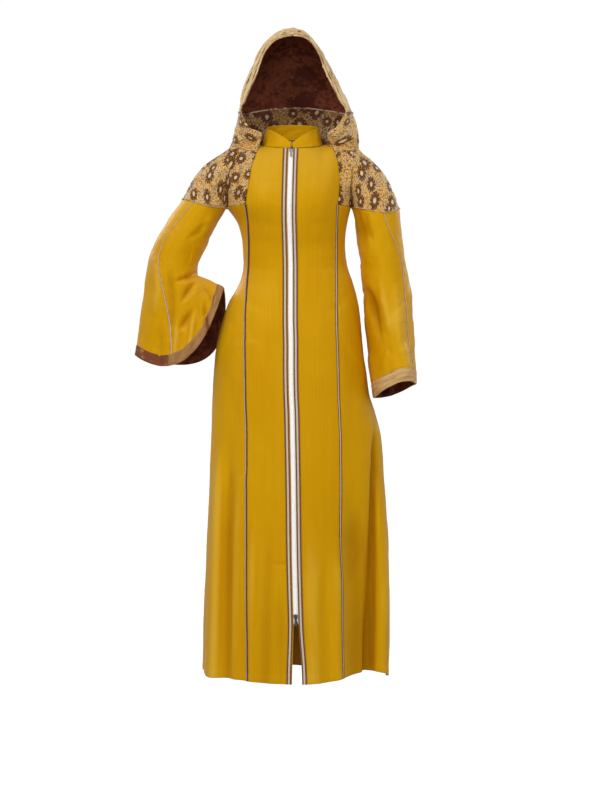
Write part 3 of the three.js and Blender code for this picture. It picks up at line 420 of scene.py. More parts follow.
def braidMaterial():
    made, wire, shader = newMaterial("stripedBraid", {"Sheen Weight": 0.1, "Specular IOR Level": 0.35})
    cloth, across, along = clothCoordinates(wire)
    share = across / braid["width"]
    stops = [(place, braid[tone]) for place, tone in braid["stripes"]]
    stripes = wire.node("ShaderNodeValToRGB", {"interpolation": "LINEAR", "stops": stops}, 0, {"Fac": share})
    slant = wire.calc("SINE", along * (2 * math.pi / braid["twistMm"]) + across * 1.6)
    cords = wire.calc("ABSOLUTE", wire.calc("SINE", share * (math.pi * 5)))
    speck = noise(wire, cloth, 0.9, 2.0)
    colour = (slant.ease(-0.2, 1.0) * 0.25).blend(stripes, braid["shadow"])
    height = cords * 0.7 + slant * 0.2 + speck * 0.15
    finishMaterial(wire, shader, colour, 0.6, height, 0.0006, 0.9)
    return made


piping = {
    "cream": linear(226, 200, 170), "brown": linear(150, 104, 72), "edge": linear(96, 58, 42),
    "twistMm": 3.2, "seamWidth": 6.4,
}


def pipingMaterial(name, edged):  # a twisted cord, and on the front seams one with dark edges
    made, wire, shader = newMaterial(name, {"Sheen Weight": 0.1, "Specular IOR Level": 0.35})
    cloth, across, along = clothCoordinates(wire)
    slant = wire.calc("SINE", along * (2 * math.pi / piping["twistMm"]) + across * 1.4)
    speck = noise(wire, cloth, 0.7, 2.0)
    # Darker along the cord's twist and in specks.
    twistAndSpecks = slant.ease(0.0, 0.8) * 0.5 + speck.ease(0.5, 0.8) * 0.15
    colour = twistAndSpecks.blend(piping["cream"], piping["brown"])
    if edged:
        off = wire.calc("ABSOLUTE", across - piping["seamWidth"] / 2)
        colour = off.ease(1.2, 1.7).blend(colour, piping["edge"])
    finishMaterial(wire, shader, colour, 0.62, slant * 0.6 + speck * 0.3, 0.0005, 0.9)
    return made


paintedGlow = {"Emission Color": (1, 1, 1, 1), "Emission Strength": 0.14}  # the zip glows a little, painted light that makes it brighter than plain white


def tapeMaterial():
    fixed = {"Sheen Weight": 0.1, "Specular IOR Level": 0.3, **paintedGlow}
    made, wire, shader = newMaterial("zipTape", fixed)
    cloth, across, along = clothCoordinates(wire)
    ribs = wire.calc("SINE", along * 6.0 + wire.calc("PINGPONG", across, 1.4) * 5.0)
    speck = noise(wire, cloth, 0.8, 2.0)
    colour = (ribs.ease(-1, 1) * 0.2 + speck * 0.1).blend(linear(255, 255, 253), linear(236, 232, 226))
    finishMaterial(wire, shader, colour, 0.75, ribs * 0.5 + speck * 0.3, 0.0003, 0.8)
    return made


def teethMaterial():
    made, wire, shader = newMaterial("zipCoil", {"Specular IOR Level": 0.5, **paintedGlow})
    place = wire.node("ShaderNodeTexCoord", {}, 3)
    speck = noise(wire, place, 900.0, 2.0)
    colour = speck.blend(linear(255, 255, 252), linear(244, 242, 238))
    finishMaterial(wire, shader, colour, 0.42, speck, 0.0001, 0.5)
    return made


def metalMaterial(name, paleAndPaintedHighlight, dark):
    made, wire, shader = newMaterial(name, {"Metallic": 1.0})
    place = wire.node("ShaderNodeTexCoord", {}, 3)
    scratch = noise(wire, stretched(wire, place, 1.0, 1.0, 0.2), 1400.0, 3.0, 0.7)
    wear = noise(wire, place, 260.0, 3.0)
    colour = wear.ease(0.35, 0.7).blend(dark, paleAndPaintedHighlight)
    finishMaterial(wire, shader, colour, scratch * 0.25 + 0.2, scratch, 0.00005, 0.4)
    return made


materials = {
    "satin": satinMaterial("mustardSatin", satin),
    "satinWrongSideShaded": satinMaterial("satinWrongSideShaded", {**satin, **shadedWrongSatin}),
    "brocade": brocadeMaterial("brocade", brocade),
    "brocadeShadedInside": brocadeMaterial("brocadeShadedInside", {**brocade, **shadedInsideBrocade}),
    "hoodVelvet": velvetMaterial("hoodVelvet", velvet["tan"], velvet["brown"], 0.35, (1.4, 0.09), 0.40,
                                 rim=40),
    # Both cuffs are one velvet: the right one's darker tan is painted shade, the left one's lighter tan
    # painted light.
    "cuffVelvet_right": velvetMaterial("cuffVelvetShaded", velvet["cuffTanShaded"], velvet["cuffBrown"], 0.3,
                                       (0.2, 0.8), 0.46, paintedSheenFrom=-0.284),
    "cuffVelvet_left": velvetMaterial("cuffVelvetLit", velvet["cuffTanLit"], velvet["cuffBrown"], 0.3,
                                      (0.1, 0.8), 0.4, paintedSheenFrom=0.2),
    "lining": velvetMaterial("maroonVelvet", velvet["lining"], velvet["liningDeep"], 0.2, (0.5, 0.5), 0.48),
    "braid": braidMaterial(),
    "piping": pipingMaterial("twistedPiping", False),
    "seamPiping": pipingMaterial("edgedPiping", True),
    "tape": tapeMaterial(),
    "teeth": teethMaterial(),
    "silver": metalMaterial("silver", linear(250, 250, 252), linear(206, 206, 210)),
    "gunmetal": metalMaterial("gunmetal", linear(140, 128, 116), linear(70, 62, 56)),
}

print("the garment's surfaces")

# Sections of the body by height: the sides, the depths, and on the front the zip and the seams.
bodyRows = table("z right left front back zip seamRight seamLeft", [
    (-1305, -229, 241, 168, 188, 7, -110, 123),
    (-1140, -224, 239, 160, 176, 7, -112, 120),
    (-995, -218, 234, 153, 165, 4, -113, 118),
    (-827, -209, 227, 146, 154, 2, -114, 117),
    (-715, -204, 219, 140, 147, 0, -114, 116),
    (-660, -203, 205, 137, 143, -1, -115, 114),
    (-610, -201, 189, 134, 140, -3, -116, 112),
    (-550, -197, 182, 130, 136, -4, -117, 111),
    (-490, -191, 175, 126, 133, -4, -118, 109),
    (-430, -178, 170, 120, 128, -5, -119, 107),
    (-380, -161, 163, 112, 115, -5, -117, 107),
    (-335, -136, 151, 104, 95, -5, -114, 107),
    (-295, -124, 137, 99, 79, -5, -111, 107),
    (-255, -124, 131, 99, 73, -6, -110, 107),
    (-215, -128, 131, 107, 79, -7, -111, 108),
    (-180, -139, 136, 114, 87, -8, -113, 109),
    (-146, -163, 144, 117, 93, -8, -118, 110),
])

# Folds of the skirt, in degrees round it from the centre front towards the left side.
skirtFolds = table("angle depth spread top", [
    (-62, 9, 7, -640),
    (-49, -9, 8, -560),
    (-84, -7, 7, -700),
    (-20, 4, 10, -860),
    (12, -4, 9, -800),
    (40, -13, 12, -560),
    (55, -12, 5, -660),
    (67, 9, 7, -680),
    (92, -9, 6, -760),
    (112, 12, 9, -640),
    (131, -12, 8, -520),
    (149, 11, 8, -600),
    (165, -12, 7, -500),
    (181, 12, 8, -470),
    (197, -11, 7, -540),
    (214, 12, 9, -620),
    (231, -12, 7, -500),
    (250, 9, 8, -640),
])

# How far the hem lies below its level, by angle round the skirt.
hemRows = table("angle drop", [
    (-180, 14),
    (-135, 12),
    (-90, -6),
    (-62, -1),
    (-35, -2),
    (-14, 3),
    (14, 3),
    (32, -6),
    (55, -16),
    (75, 2),
    (100, 10),
    (180, 14),
])

# Rings of the sleeves from the cap to the cuff: their two ends, their depths, how far the
# middle of the front and back wall hangs, and the angle of the overarm seam.
sleeveNames = "ix iz ox oz front back hfx hfz hbx hbz piping"
sleeveRows = {
    "right": table(sleeveNames, [
        (-165.5, -146, -277, -126, 58, 56, 0, 0, 0, 0, 111),
        (-185, -176, -302, -160, 60, 58, 0, 0, 0, 0, 116),
        (-204, -214, -328, -200, 62, 60, 0, 0, 0, 0, 123),
        (-220, -247, -346, -230, 64, 62, 0, 0, 0, 0, 125),
        (-232, -270, -356, -262, 65, 64, 0, -1, 0, -1, 125),
        (-239, -293, -364, -296, 66, 66, 2, -4, 2, -4, 119),
        (-237, -313, -369, -326, 68, 68, 6, -10, 8, -10, 113),
        (-222, -322, -374, -366, 70, 72, 10, -22, 16, -22, 110),
        (-206, -329, -379, -400, 73, 76, 14, -40, 26, -38, 109),
        (-190, -336, -384, -436, 76, 80, 17, -60, 40, -54, 108),
        (-178, -341, -388, -468, 79, 84, 18, -76, 52, -68, 107),
        (-174, -344, -391, -494, 82, 88, 18, -88, 60, -80, 107),
        (-172, -346, -395, -513, 84, 90, 22, -94, 66, -86, 107),
    ]),
    "left": table(sleeveNames, [
        (146.5, -146, 265, -147, 58, 56, 0, -6, 0, -4, 106),
        (153, -185, 270, -185, 60, 58, 0, -3, 0, -2, 110),
        (160, -232, 275, -232, 63, 62, 0, 0, 0, 0, 127),
        (168, -282, 282, -282, 66, 66, 0, 0, 0, 0, 143),
        (172, -325, 290, -325, 70, 71, 0, 0, 0, 0, 138),
        (176, -372, 297, -368, 76, 78, 0, 1, 0, -1, 134),
        (179, -424, 300, -420, 84, 88, 0, 3, 0, -2, 133),
        (184, -475, 302, -470, 94, 98, 0, 7, 0, -3, 135),
        (190, -528, 304, -514, 104, 110, 0, 12, 0, -5, 141),
        (197, -586, 307, -551, 114, 122, 0, 18, 0, -8, 150),
        (201, -620, 308, -586, 120, 128, 0, 20, 0, -10, 150),
    ]),
}

# Ribs of the hood from its seat to the crown, over the edge, the side and the middle of the back.
hoodRows = table("edgeR edgeL edgeY edgeZ sideR sideL sideY sideZ backY backZ", [
    (-77, 82, -44, 12, -156, 170, 4, 4, 84, 0),
    (-76, 82, -50, 27, -151, 167, 8, 22, 92, 28),
    (-82, 88, -54, 38, -147, 164, 12, 44, 100, 60),
    (-106, 106, -50, 50, -142, 159, 16, 66, 109, 92),
    (-128, 130, -38, 90, -136, 149, 20, 96, 118, 125),
    (-118, 116, -43, 114, -132, 136, 24, 126, 128, 158),
    (-108, 103, -48, 138, -127, 123, 25, 155, 130, 192),
    (-94, 88, -53, 167, -115, 107, 22, 187, 122, 225),
    (-82, 74, -57, 198, -101, 90, 17, 217, 105, 256),
    (-70, 62, -59, 229, -86, 73, 8, 247, 78, 283),
    (-50, 45, -59, 256, -66, 53, -4, 273, 45, 300),
    (-25, 25, -57, 270, -34, 26, -16, 295, 10, 306),
    (2, 2, -55, 274, 2, 2, -32, 298, -12, 303),
])

# Heights of the stand collar from the centre front to the centre back.
collarRows = table("at height", [
    (0, 12),
    (0.05, 21),
    (0.1, 28),
    (0.2, 37),
    (0.3, 41),
    (0.5, 41),
    (1, 38),
])

# Inner edge of the front yokes by level.
yokeEdgeRows = table("level right left", [
    (-146, -118, 110),
    (-134, -116, 114),
    (-118, -111, 116),
    (-88, -103, 114),
    (-55, -91, 107),
    (-20, -81, 94),
    (0, -76, 84),
])

sizes = {
    "armpitZ": -146.0, "hemZ": -1305.0, "hemReach": 260.0, "shoulderSeam": -0.5, "shoulderTipX": 174.0,
    "shoulderTipZ": -6.0, "neckHalfWidth": 75.0, "neckFront": 62.0, "neckBack": 52.0, "neckFrontZ": -5.0,
    "neckBackZ": 30.0, "neckShare": 0.34, "slotHalf": 6.0, "slitHalf": 12.0, "zipBottomZ": -1146.0,
    "zipTopZ": -9.0, "zipDrift": 3.4, "yokeBackLevel": -112.0,
}
armpitZ = sizes["armpitZ"]
hemZ = sizes["hemZ"]
bust = {"x": 75, "z": -134, "width": 46, "height": 50, "depth": 9}
sideEdge = 0.9995  # the panels stop just short of the side seams, and of each other by seamGap
seamGap = 0.0006


def unit(vectors):
    return vectors / np.maximum(np.linalg.norm(vectors, axis=-1, keepdims=True), 1e-9)


def stack(x, y, z):
    return np.stack(np.broadcast_arrays(x, y, z), axis=-1)


def skirtFold(degrees, z):
    out = 0
    for angle, depth, spread, top in zip(*skirtFolds.values()):
        turn = (degrees - angle + 180) % 360 - 180
        out = out + depth * smoothstep(top - z, 0, 520) * np.exp(-((turn / spread) ** 2))
    return out


def neckPoint(around):  # the neck seam, from the centre front (0) by the side to the back (1)
    turn = around * np.pi
    depth = np.where(around < 0.5, sizes["neckFront"], sizes["neckBack"])
    return stack(sizes["neckHalfWidth"] * np.sin(turn), -depth * np.cos(turn),
                 blendTo(sizes["neckFrontZ"], sizes["neckBackZ"], smoothstep(around, 0, 1)))


def shoulderLine(isFront, reach):
    share = np.clip(reach / sizes["neckShare"], 0, 1) * 0.5
    neck = neckPoint(share if isFront else 1 - share)
    t = (reach - sizes["neckShare"]) / (1 - sizes["neckShare"])
    side = neckPoint(np.array(0.5))
    shoulder = stack(blendTo(side[0], sizes["shoulderTipX"], t), blendTo(side[1], 4, t),
                     blendTo(side[2], sizes["shoulderTipZ"], t) + 5 * np.sin(t * np.pi))
    return np.where((reach < sizes["neckShare"])[..., None], neck, shoulder)


# The body's outer surface. across runs from the centre (0) to the side seams (-1 and 1). level is
# the height below the armpits, and above them it runs up to 0 on the neck and shoulder seams.
def bodyPoint(isFront, across, level):
    across, level = np.broadcast_arrays(np.asarray(across, float), np.asarray(level, float))
    z = np.minimum(level, armpitZ)
    right, left = column(bodyRows, "z", "right", z), column(bodyRows, "z", "left", z)
    depth = column(bodyRows, "z", "front" if isFront else "back", z)
    turn = across * quarterTurn
    degrees = across * 90 if isFront else 180 - across * 90
    fold = skirtFold(degrees, z)
    sign = -1 if isFront else 1
    x = (left + right) / 2 + ((left - right) / 2 + fold) * np.sin(turn)
    y = sign * (depth + fold) * np.cos(turn)
    wrapped = np.where(degrees > 180, degrees - 360, degrees)
    drop = column(hemRows, "angle", "drop", wrapped)
    z = z - drop * (1 - smoothstep(z, hemZ, hemZ + sizes["hemReach"]))
    rise = np.clip(1 - level / armpitZ, 0, 1)
    side = np.where(across < 0, -1, 1)
    reach = np.abs(across)
    top = shoulderLine(isFront, reach)
    roundness = blendTo(0.35, 1, smoothstep(reach, 0, 0.5))
    up = blendTo(rise, np.sin(rise * quarterTurn), roundness)
    over = blendTo(rise, 1 - np.cos(rise * quarterTurn), roundness)
    armhole = smoothstep(reach, 0.62, 1) * np.sin(rise * np.pi) * (-52 if isFront else 44)
    x = blendTo(x, side * top[..., 0], rise) - side * smoothstep(reach, 0.6, 1) * np.sin(rise * np.pi) * 9
    y = blendTo(y, top[..., 1], over) + armhole
    z = blendTo(z, top[..., 2], up)
    if isFront:
        nearX = (np.abs(x) - bust["x"]) / bust["width"]
        nearZ = (z - bust["z"]) / bust["height"]
        y = y - bust["depth"] * np.exp(-nearX * nearX - nearZ * nearZ)
    return stack(x, y, z)


def frontSurface(across, level):
    return bodyPoint(True, across, level)


def backSurface(across, level):
    return bodyPoint(False, across, level)


def acrossAt(x, level):  # where the front has this x at a level, as a share of the way to the side
    low = np.full(np.shape(level), -1.0)
    high = np.full(np.shape(level), 1.0)
    for step in range(24):
        trial = (low + high) / 2
        before = bodyPoint(True, trial, level)[..., 0] < x
        low, high = np.where(before, trial, low), np.where(before, high, trial)
    return (low + high) / 2


def zipX(level):
    lift = np.clip(level / armpitZ, 0, 1)
    drift = sizes["zipDrift"] * (1 - smoothstep(level, hemZ, sizes["zipBottomZ"] + 60))
    return column(bodyRows, "z", "zip", np.minimum(level, armpitZ)) * blendTo(0.5, 1, lift) + drift


def slotHalf(level):
    return blendTo(sizes["slitHalf"], sizes["slotHalf"], smoothstep(level, hemZ, sizes["zipBottomZ"]))


def princess(side, level):
    name = "seamRight" if side < 0 else "seamLeft"
    return acrossAt(column(bodyRows, "z", name, np.minimum(level, armpitZ)), level)


def frontOuter(side, level):  # the princess seam, and above the armpits the yoke's inner edge
    inner = column(yokeEdgeRows, "level", "right" if side < 0 else "left", np.maximum(level, armpitZ))
    return np.where(level <= armpitZ, princess(side, level), acrossAt(inner, level))


def sleevePoint(rows, angle, row):  # angle runs round a ring from its inner end by the front
    angle, row = np.broadcast_arrays(np.asarray(angle, float), np.asarray(row, float))
    value = {name: numbered(rows, name, row) for name in rows}
    cos, sin = np.cos(np.radians(angle)), np.sin(np.radians(angle))
    isFront = sin > 0
    hang = sin * sin
    x = (value["ix"] + value["ox"]) / 2 + cos * (value["ix"] - value["ox"]) / 2
    z = (value["iz"] + value["oz"]) / 2 + cos * (value["iz"] - value["oz"]) / 2
    x = x + hang * np.where(isFront, value["hfx"], value["hbx"])
    z = z + hang * np.where(isFront, value["hfz"], value["hbz"])
    return stack(x, -sin * np.where(isFront, value["front"], value["back"]), z)


def armholePoint(sign, angle):  # the armhole's edge on the body, 0 at the armpit
    turned = angle % 360
    rise = np.where(turned <= 180, turned, 360 - turned) / 180
    front = bodyPoint(True, np.full(np.shape(angle), float(sign)), armpitZ * (1 - rise))
    back = bodyPoint(False, np.full(np.shape(angle), float(sign)), armpitZ * (1 - rise))
    point = np.where((turned <= 180)[..., None], front, back)
    point[..., 0] += sign * 0.3
    return point


def capPoint(rows, sign, angle, down):
    angle, down = np.broadcast_arrays(np.asarray(angle, float), np.asarray(down, float))
    over = np.clip(down - 1, 0, None)  # past the seam it lies over the sleeve
    down = np.minimum(down, 1)
    point = blendTo(armholePoint(sign, angle), sleevePoint(rows, angle, over * 2), down[..., None])
    swell = np.sin(down * np.pi) * np.sin(np.radians(angle) / 2) ** 2 * 15
    point[..., 0] += sign * swell * 0.75
    point[..., 2] += swell * 0.66
    return point


capDip = {"right": (0.13, 74), "left": (0.16, 112)}  # how far a cap's lower edge dips, and at what angle


def capEnd(name, angle):
    depth, place = capDip[name]
    away = np.abs((angle % 360) - place)
    return 1 + depth * np.exp(-((np.minimum(away, 360 - away) / 46) ** 2))


hoodSeamRow = 4
hoodSideAt = 0.45


# The hood: around runs from the right front edge (-1) by the centre back (0) to the left (1).
def hoodPoint(around, row):
    around, row = np.broadcast_arrays(np.asarray(around, float), np.asarray(row, float))
    value = {name: numbered(hoodRows, name, row) for name in hoodRows}
    along = 1 - np.abs(around)
    isRight = around < 0
    edgeX = np.where(isRight, value["edgeR"], value["edgeL"])
    sideX = np.where(isRight, value["sideR"], value["sideL"])
    share = along / hoodSideAt
    turn = np.clip(share, -0.05, 1) * quarterTurn
    front = stack(blendTo(edgeX, sideX, np.sin(turn)), blendTo(value["sideY"], value["edgeY"], np.cos(turn)),
                  blendTo(value["edgeZ"], value["sideZ"], share))
    share = np.clip((along - hoodSideAt) / (1 - hoodSideAt), 0, None)
    turn = share * quarterTurn
    middle = (value["edgeR"] + value["edgeL"]) / 2
    back = stack(blendTo(middle, sideX, np.cos(turn)), blendTo(value["sideY"], value["backY"], np.sin(turn)),
                 blendTo(value["sideZ"], value["backZ"], smoothstep(share, 0, 1)))
    return np.where((along < hoodSideAt)[..., None], front, back)


def yokeSeat(around, row):  # where the hood's funnel stands on the yokes, and below row 0 lies on them
    sign = np.where(around < 0, -1, 1)
    along = 1 - np.abs(around)
    isFront = along < hoodSideAt
    share = np.where(isFront, along / hoodSideAt, (along - hoodSideAt) / (1 - hoodSideAt))
    share = np.maximum(share, 0)
    lower = 0.16 * np.clip(-row, 0, 1)
    level = armpitZ * (1 - blendTo(0.78, 1, share ** 1.4) + lower)
    edge = np.where(sign < 0, -frontOuter(-1, level), frontOuter(1, level))
    outer = blendTo(edge, 0.93, np.sin(share * quarterTurn))
    ahead = bodyPoint(True, sign * outer, level)
    behind = bodyPoint(False, sign * 0.93 * np.cos(share * quarterTurn),
                       armpitZ * (1 - blendTo(1, 0.62, smoothstep(share, 0, 0.8)) + lower))
    across = np.where(isFront, outer, 0.93 * np.cos(share * quarterTurn))
    leaning = np.where(isFront, -0.3 * (1 - share), 1.6 * share)
    outward = unit(stack(0.15 * sign * across, leaning, 1.0))
    return np.where(isFront[..., None], ahead, behind) + outward * 2.6


def hoodBasePoint(around, row):  # below row 0 it lies on the yokes
    around, row = np.broadcast_arrays(np.asarray(around, float), np.asarray(row, float))
    low = blendTo(yokeSeat(around, row), hoodPoint(around, np.ones_like(row)), np.clip(row, 0, 1)[..., None])
    return np.where((row < 1)[..., None], low, hoodPoint(around, row))


def collarPoint(around, up):
    around, up = np.broadcast_arrays(np.asarray(around, float), np.asarray(up, float))
    sign = np.where(around < 0, -1, 1)
    along = 1 - np.abs(around)
    base = neckPoint(along)
    height = column(collarRows, "at", "height", along)
    lean = 1 - (11 * up * smoothstep(along, 0, 0.35)) / sizes["neckHalfWidth"]
    return stack(sign * base[..., 0] * lean - 3 * (1 - along), base[..., 1] * lean,
                 base[..., 2] + 1.2 + up * height)


print("cloth builder")


def spaced(low, high, count, rims=False):  # even steps, with two closer ones at each rim
    even = np.linspace(low, high, count)
    if not rims:
        return even
    step = (high - low) / (count - 1)
    return np.concatenate([[low, low + 0.15 * step, low + 0.45 * step], even[1:-1],
                           [high - 0.45 * step, high - 0.15 * step, high]])


def gridNormals(points, ringed):
    if ringed:
        wrapped = np.concatenate([points[:, -2:-1], points, points[:, 1:2]], axis=1)
        across = np.gradient(wrapped, axis=1)[:, 1:-1]
    else:
        across = np.gradient(points, axis=1)
    return unit(np.cross(across, np.gradient(points, axis=0)))


def pathDistance(x, z, path):  # how far from a path on the front view, and how far along it
    nearest = np.full(np.shape(x), 1e9)
    share = np.zeros(np.shape(x))
    for step, (start, end) in enumerate(zip(path[:-1], path[1:])):
        dx, dz = end[0] - start[0], end[1] - start[1]
        t = np.clip(((x - start[0]) * dx + (z - start[1]) * dz) / (dx * dx + dz * dz), 0, 1)
        distance = np.hypot(x - start[0] - t * dx, z - start[1] - t * dz)
        closer = distance < nearest
        nearest = np.where(closer, distance, nearest)
        share = np.where(closer, (step + t) / (len(path) - 1), share)
    return nearest, share


# Creases on the front or the back wall. A row is a path seen from the front, then the crease's width
# and its depth, a ridge above 0 and else a trough. One that runs off has no lower end.
def creases(face, rows, runsOff=False):
    return [{"face": face, "path": path, "width": width, "depth": depth, "runsOff": runsOff}
            for *path, width, depth in rows]


def creaseRise(points, marks):
    rise = np.zeros(points.shape[:-1])
    for crease in marks:
        ahead = -points[..., 1] if crease["face"] == "front" else points[..., 1]
        facing = smoothstep(ahead, -12, 12)
        distance, share = pathDistance(points[..., 0], points[..., 2], crease["path"])
        taper = np.sin(np.pi * np.clip(share, 0.02, 0.98)) ** 0.7
        if crease["runsOff"]:
            taper = smoothstep(share, 0, 0.4)
        width = crease["width"] * (0.55 + 0.45 * taper)
        rise += facing * crease["depth"] * taper * np.exp(-((distance / width) ** 2))
    return rise


def softNoise(points, length, seed):  # smooth unevenness about this many millimetres across
    maker = np.random.default_rng(seed)
    total = np.zeros(points.shape[:-1])
    for wave in range(7):
        direction = unit(maker.normal(size=3)) * (2 * np.pi / length) * maker.uniform(0.6, 1.5)
        total += np.sin(points @ direction + maker.uniform(0, 6.28) + 1.3 * np.sin(total))
    return total / 3.5


def addMesh(name, points, faces, uvs, kinds, materialNames):
    mesh = bpy.data.meshes.new(name)
    mesh.from_pydata((points * toMetres).tolist(), [], faces.tolist())
    layer = mesh.uv_layers.new(name="cloth")
    layer.data.foreach_set("uv", (uvs * toMetres).astype(np.float32).ravel())
    mesh.polygons.foreach_set("use_smooth", np.ones(len(faces), bool))
    mesh.polygons.foreach_set("material_index", kinds.astype(np.int32))
    for material in materialNames:
        mesh.materials.append(materials[material])
    mesh.update()
    made = bpy.data.objects.new(name, mesh)
    bpy.context.collection.objects.link(made)
    return made


def smoothed(points, near, passes):  # each row moves towards its neighbours, by the share near gives
    for step in range(passes):
        points[1:-1] += near[1:-1, :, None] * (points[:-2] / 2 + points[2:] / 2 - points[1:-1])
    return points


def softened(points, level, passes):  # rounds the body off where the shoulders begin
    return smoothed(points, 0.5 * np.exp(-(((level - armpitZ) / 30) ** 2)), passes)


def flattened(values, ringed):  # a grid's values one after another, a ring's double column once
    kept = values[:, :-1] if ringed else values
    return kept.reshape(-1, *values.shape[2:])


def lengthsAlong(points, axis):  # how far along the cloth each corner lies
    steps = np.linalg.norm(np.diff(points, axis=axis), axis=-1)
    return np.concatenate([np.zeros_like(steps.take([0], axis=axis)), np.cumsum(steps, axis=axis)], axis=axis)


patternShift = {"across": 61.0, "along": 97.0}


# A wall of cloth over part of a surface. a and b hold the surface's two values at each corner of
# the grid, core is a point in the hollow, and out moves the wall off the surface.
def addWall(name, surface, a, b, core, wears, thickness=1.4, out=0, ringed=False, marks=(), shape=None,
            centred=True, rounding=0):
    a, b = np.broadcast_arrays(a, b)
    points = surface(a, b)
    normals = gridNormals(points, ringed)
    rows, columns = a.shape
    probe = points[rows // 2, columns // 2]
    sense = 1 if np.dot(normals[rows // 2, columns // 2], probe - np.asarray(core, float)) > 0 else -1
    rise = creaseRise(points, marks) + out
    if shape is not None:
        rise = rise + shape(a, b, points)
    points = softened(points + normals * (sense * rise)[..., None], b, rounding)
    if ringed:
        points[:, -1] = points[:, 0]
    normals = gridNormals(points, ringed) * sense
    inner = points - normals * thickness
    u = lengthsAlong(points, 1)
    # The pattern starts elsewhere on each piece, so that no two have the same part of it.
    v = lengthsAlong(points, 0) + patternShift["along"] * len(bpy.data.meshes)
    if centred:
        u = u - u[:, columns // 2:columns // 2 + 1] + patternShift["across"] * len(bpy.data.meshes)
    uv = np.stack([u, v], axis=-1)
    width = columns - 1 if ringed else columns
    place = np.arange(rows)[:, None] * width + (np.arange(columns) % width)[None, :]
    layer = rows * width
    corner = np.arange(rows * columns).reshape(rows, columns)
    faces, corners, kinds = [], [], []

    def addQuads(one, two, three, four, uvOf, kind):
        faces.append(np.stack([q.ravel() for q in (one, two, three, four)], axis=1))
        corners.append(np.stack([q.ravel() for q in uvOf], axis=1))
        kinds.append(np.full(faces[-1].shape[0], kind))

    head, tail = slice(None, -1), slice(1, None)
    quad = (head, head), (head, tail), (tail, tail), (tail, head)
    order = quad if sense > 0 else quad[::-1]
    addQuads(*[place[q] for q in order], [corner[q] for q in order], 0)
    addQuads(*[place[q] + layer for q in order[::-1]], [corner[q] for q in order[::-1]], len(wears) - 1)
    edges = [(place[0], corner[0], 1), (place[-1], corner[-1], -1)]
    if not ringed:
        edges += [(place[:, 0], corner[:, 0], -1), (place[:, -1], corner[:, -1], 1)]
    for line, lineUv, way in edges:
        first, second = (head, tail) if way * sense > 0 else (tail, head)
        one, two, uvOne, uvTwo = line[first], line[second], lineUv[first], lineUv[second]
        addQuads(one + layer, two + layer, two, one, [uvOne, uvTwo, uvTwo, uvOne], 0)
    allPoints = np.concatenate([flattened(points, ringed), flattened(inner, ringed)])
    uvs = uv.reshape(-1, 2)[np.concatenate(corners).ravel()]
    made = addMesh(name, allPoints, np.concatenate(faces), uvs, np.concatenate(kinds), wears)
    # The rise is kept on the mesh: the satin and velvet paint shade in its troughs and a highlight on its
    # ridges from it.
    hollow = flattened(rise - out, ringed)
    layer = made.data.attributes.new("hollow", "FLOAT", "POINT")
    layer.data.foreach_set("value", np.concatenate([hollow, -hollow]).astype(np.float32))
    return made


print("body")

grid = {"levels": 270, "shoulder": 60, "front": 32, "side": 32, "back": 88}
bodyCore = (0, 0, -700)
skirtLevels = spaced(hemZ, armpitZ, grid["levels"], True)
shoulderLevels = spaced(armpitZ, sizes["shoulderSeam"], grid["shoulder"])
allLevels = np.concatenate([skirtLevels, shoulderLevels[1:]])


def acrossShare(a):  # 0 at one side of a piece and 1 at the other
    return np.abs((a - a[:, :1]) / (a[:, -1:] - a[:, :1]))


def seamTuck(share, width, reach=5.0, depth=1.1):  # cloth turns in along its seams
    near = np.minimum(share, 1 - share) * width
    return -depth * np.exp(-((near / (reach * 0.45)) ** 2))


frontCreases = creases("front", [
    ((-50, -1020), (-30, -1023), (-14, -1018), 5, -1.8),
    ((22, -84), (58, -92), (92, -84), 7, -0.7),
    ((24, -104), (60, -116), (98, -104), 9, 0.6),
    ((-30, -92), (-70, -98), (-106, -88), 7, -0.7),
    ((-34, -112), (-74, -120), (-104, -112), 9, 0.6),
    ((-120, -176), (-70, -196), (-20, -204), 10, -0.9),
    ((118, -172), (72, -192), (18, -200), 10, -0.9),
    ((-122, -226), (-80, -238), (-30, -236), 8, -0.8),
    ((126, -228), (78, -242), (22, -238), 8, -0.8),
    ((-118, -262), (-70, -270), (-20, -262), 8, 0.7),
    ((120, -258), (84, -270), (30, -266), 8, 0.8),
    ((-116, -292), (-76, -306), (-24, -300), 9, -0.9),
    ((128, -288), (78, -304), (20, -300), 9, -0.8),
    ((-130, -352), (-96, -392), (-60, -412), 12, -1.1),
    ((148, -350), (112, -394), (74, -420), 12, -1.1),
    ((-60, -480), (-20, -492), (10, -486), 16, -0.8),
    ((20, -520), (58, -534), (96, -520), 16, -0.8),
    ((-180, -520), (-150, -600), (-136, -700), 14, -1.6),
    ((172, -520), (150, -600), (146, -720), 14, -1.4),
]) + creases("front", [
    ((-176, -680), (-184, -900), (-194, -1310), 12, 9),
    ((-152, -700), (-160, -960), (-164, -1310), 11, -9),
    ((-130, -760), (-138, -1000), (-140, -1310), 9, 4),
    ((207, -640), (203, -800), (199, -960), (190, -1310), 9, -24),
    ((230, -720), (228, -1000), (222, -1310), 13, 6),
    ((150, -800), (162, -1030), (162, -1310), 32, -9),
    ((104, -880), (110, -1100), (112, -1310), 14, 5),
    ((44, -900), (50, -1310), 24, 5),
    ((78, -980), (84, -1310), 14, -5),
    ((-62, -900), (-66, -1310), 20, -6),
    ((-30, -1040), (-26, -1310), 16, -5),
    ((-96, -860), (-100, -1310), 11, 5),
], runsOff=True)
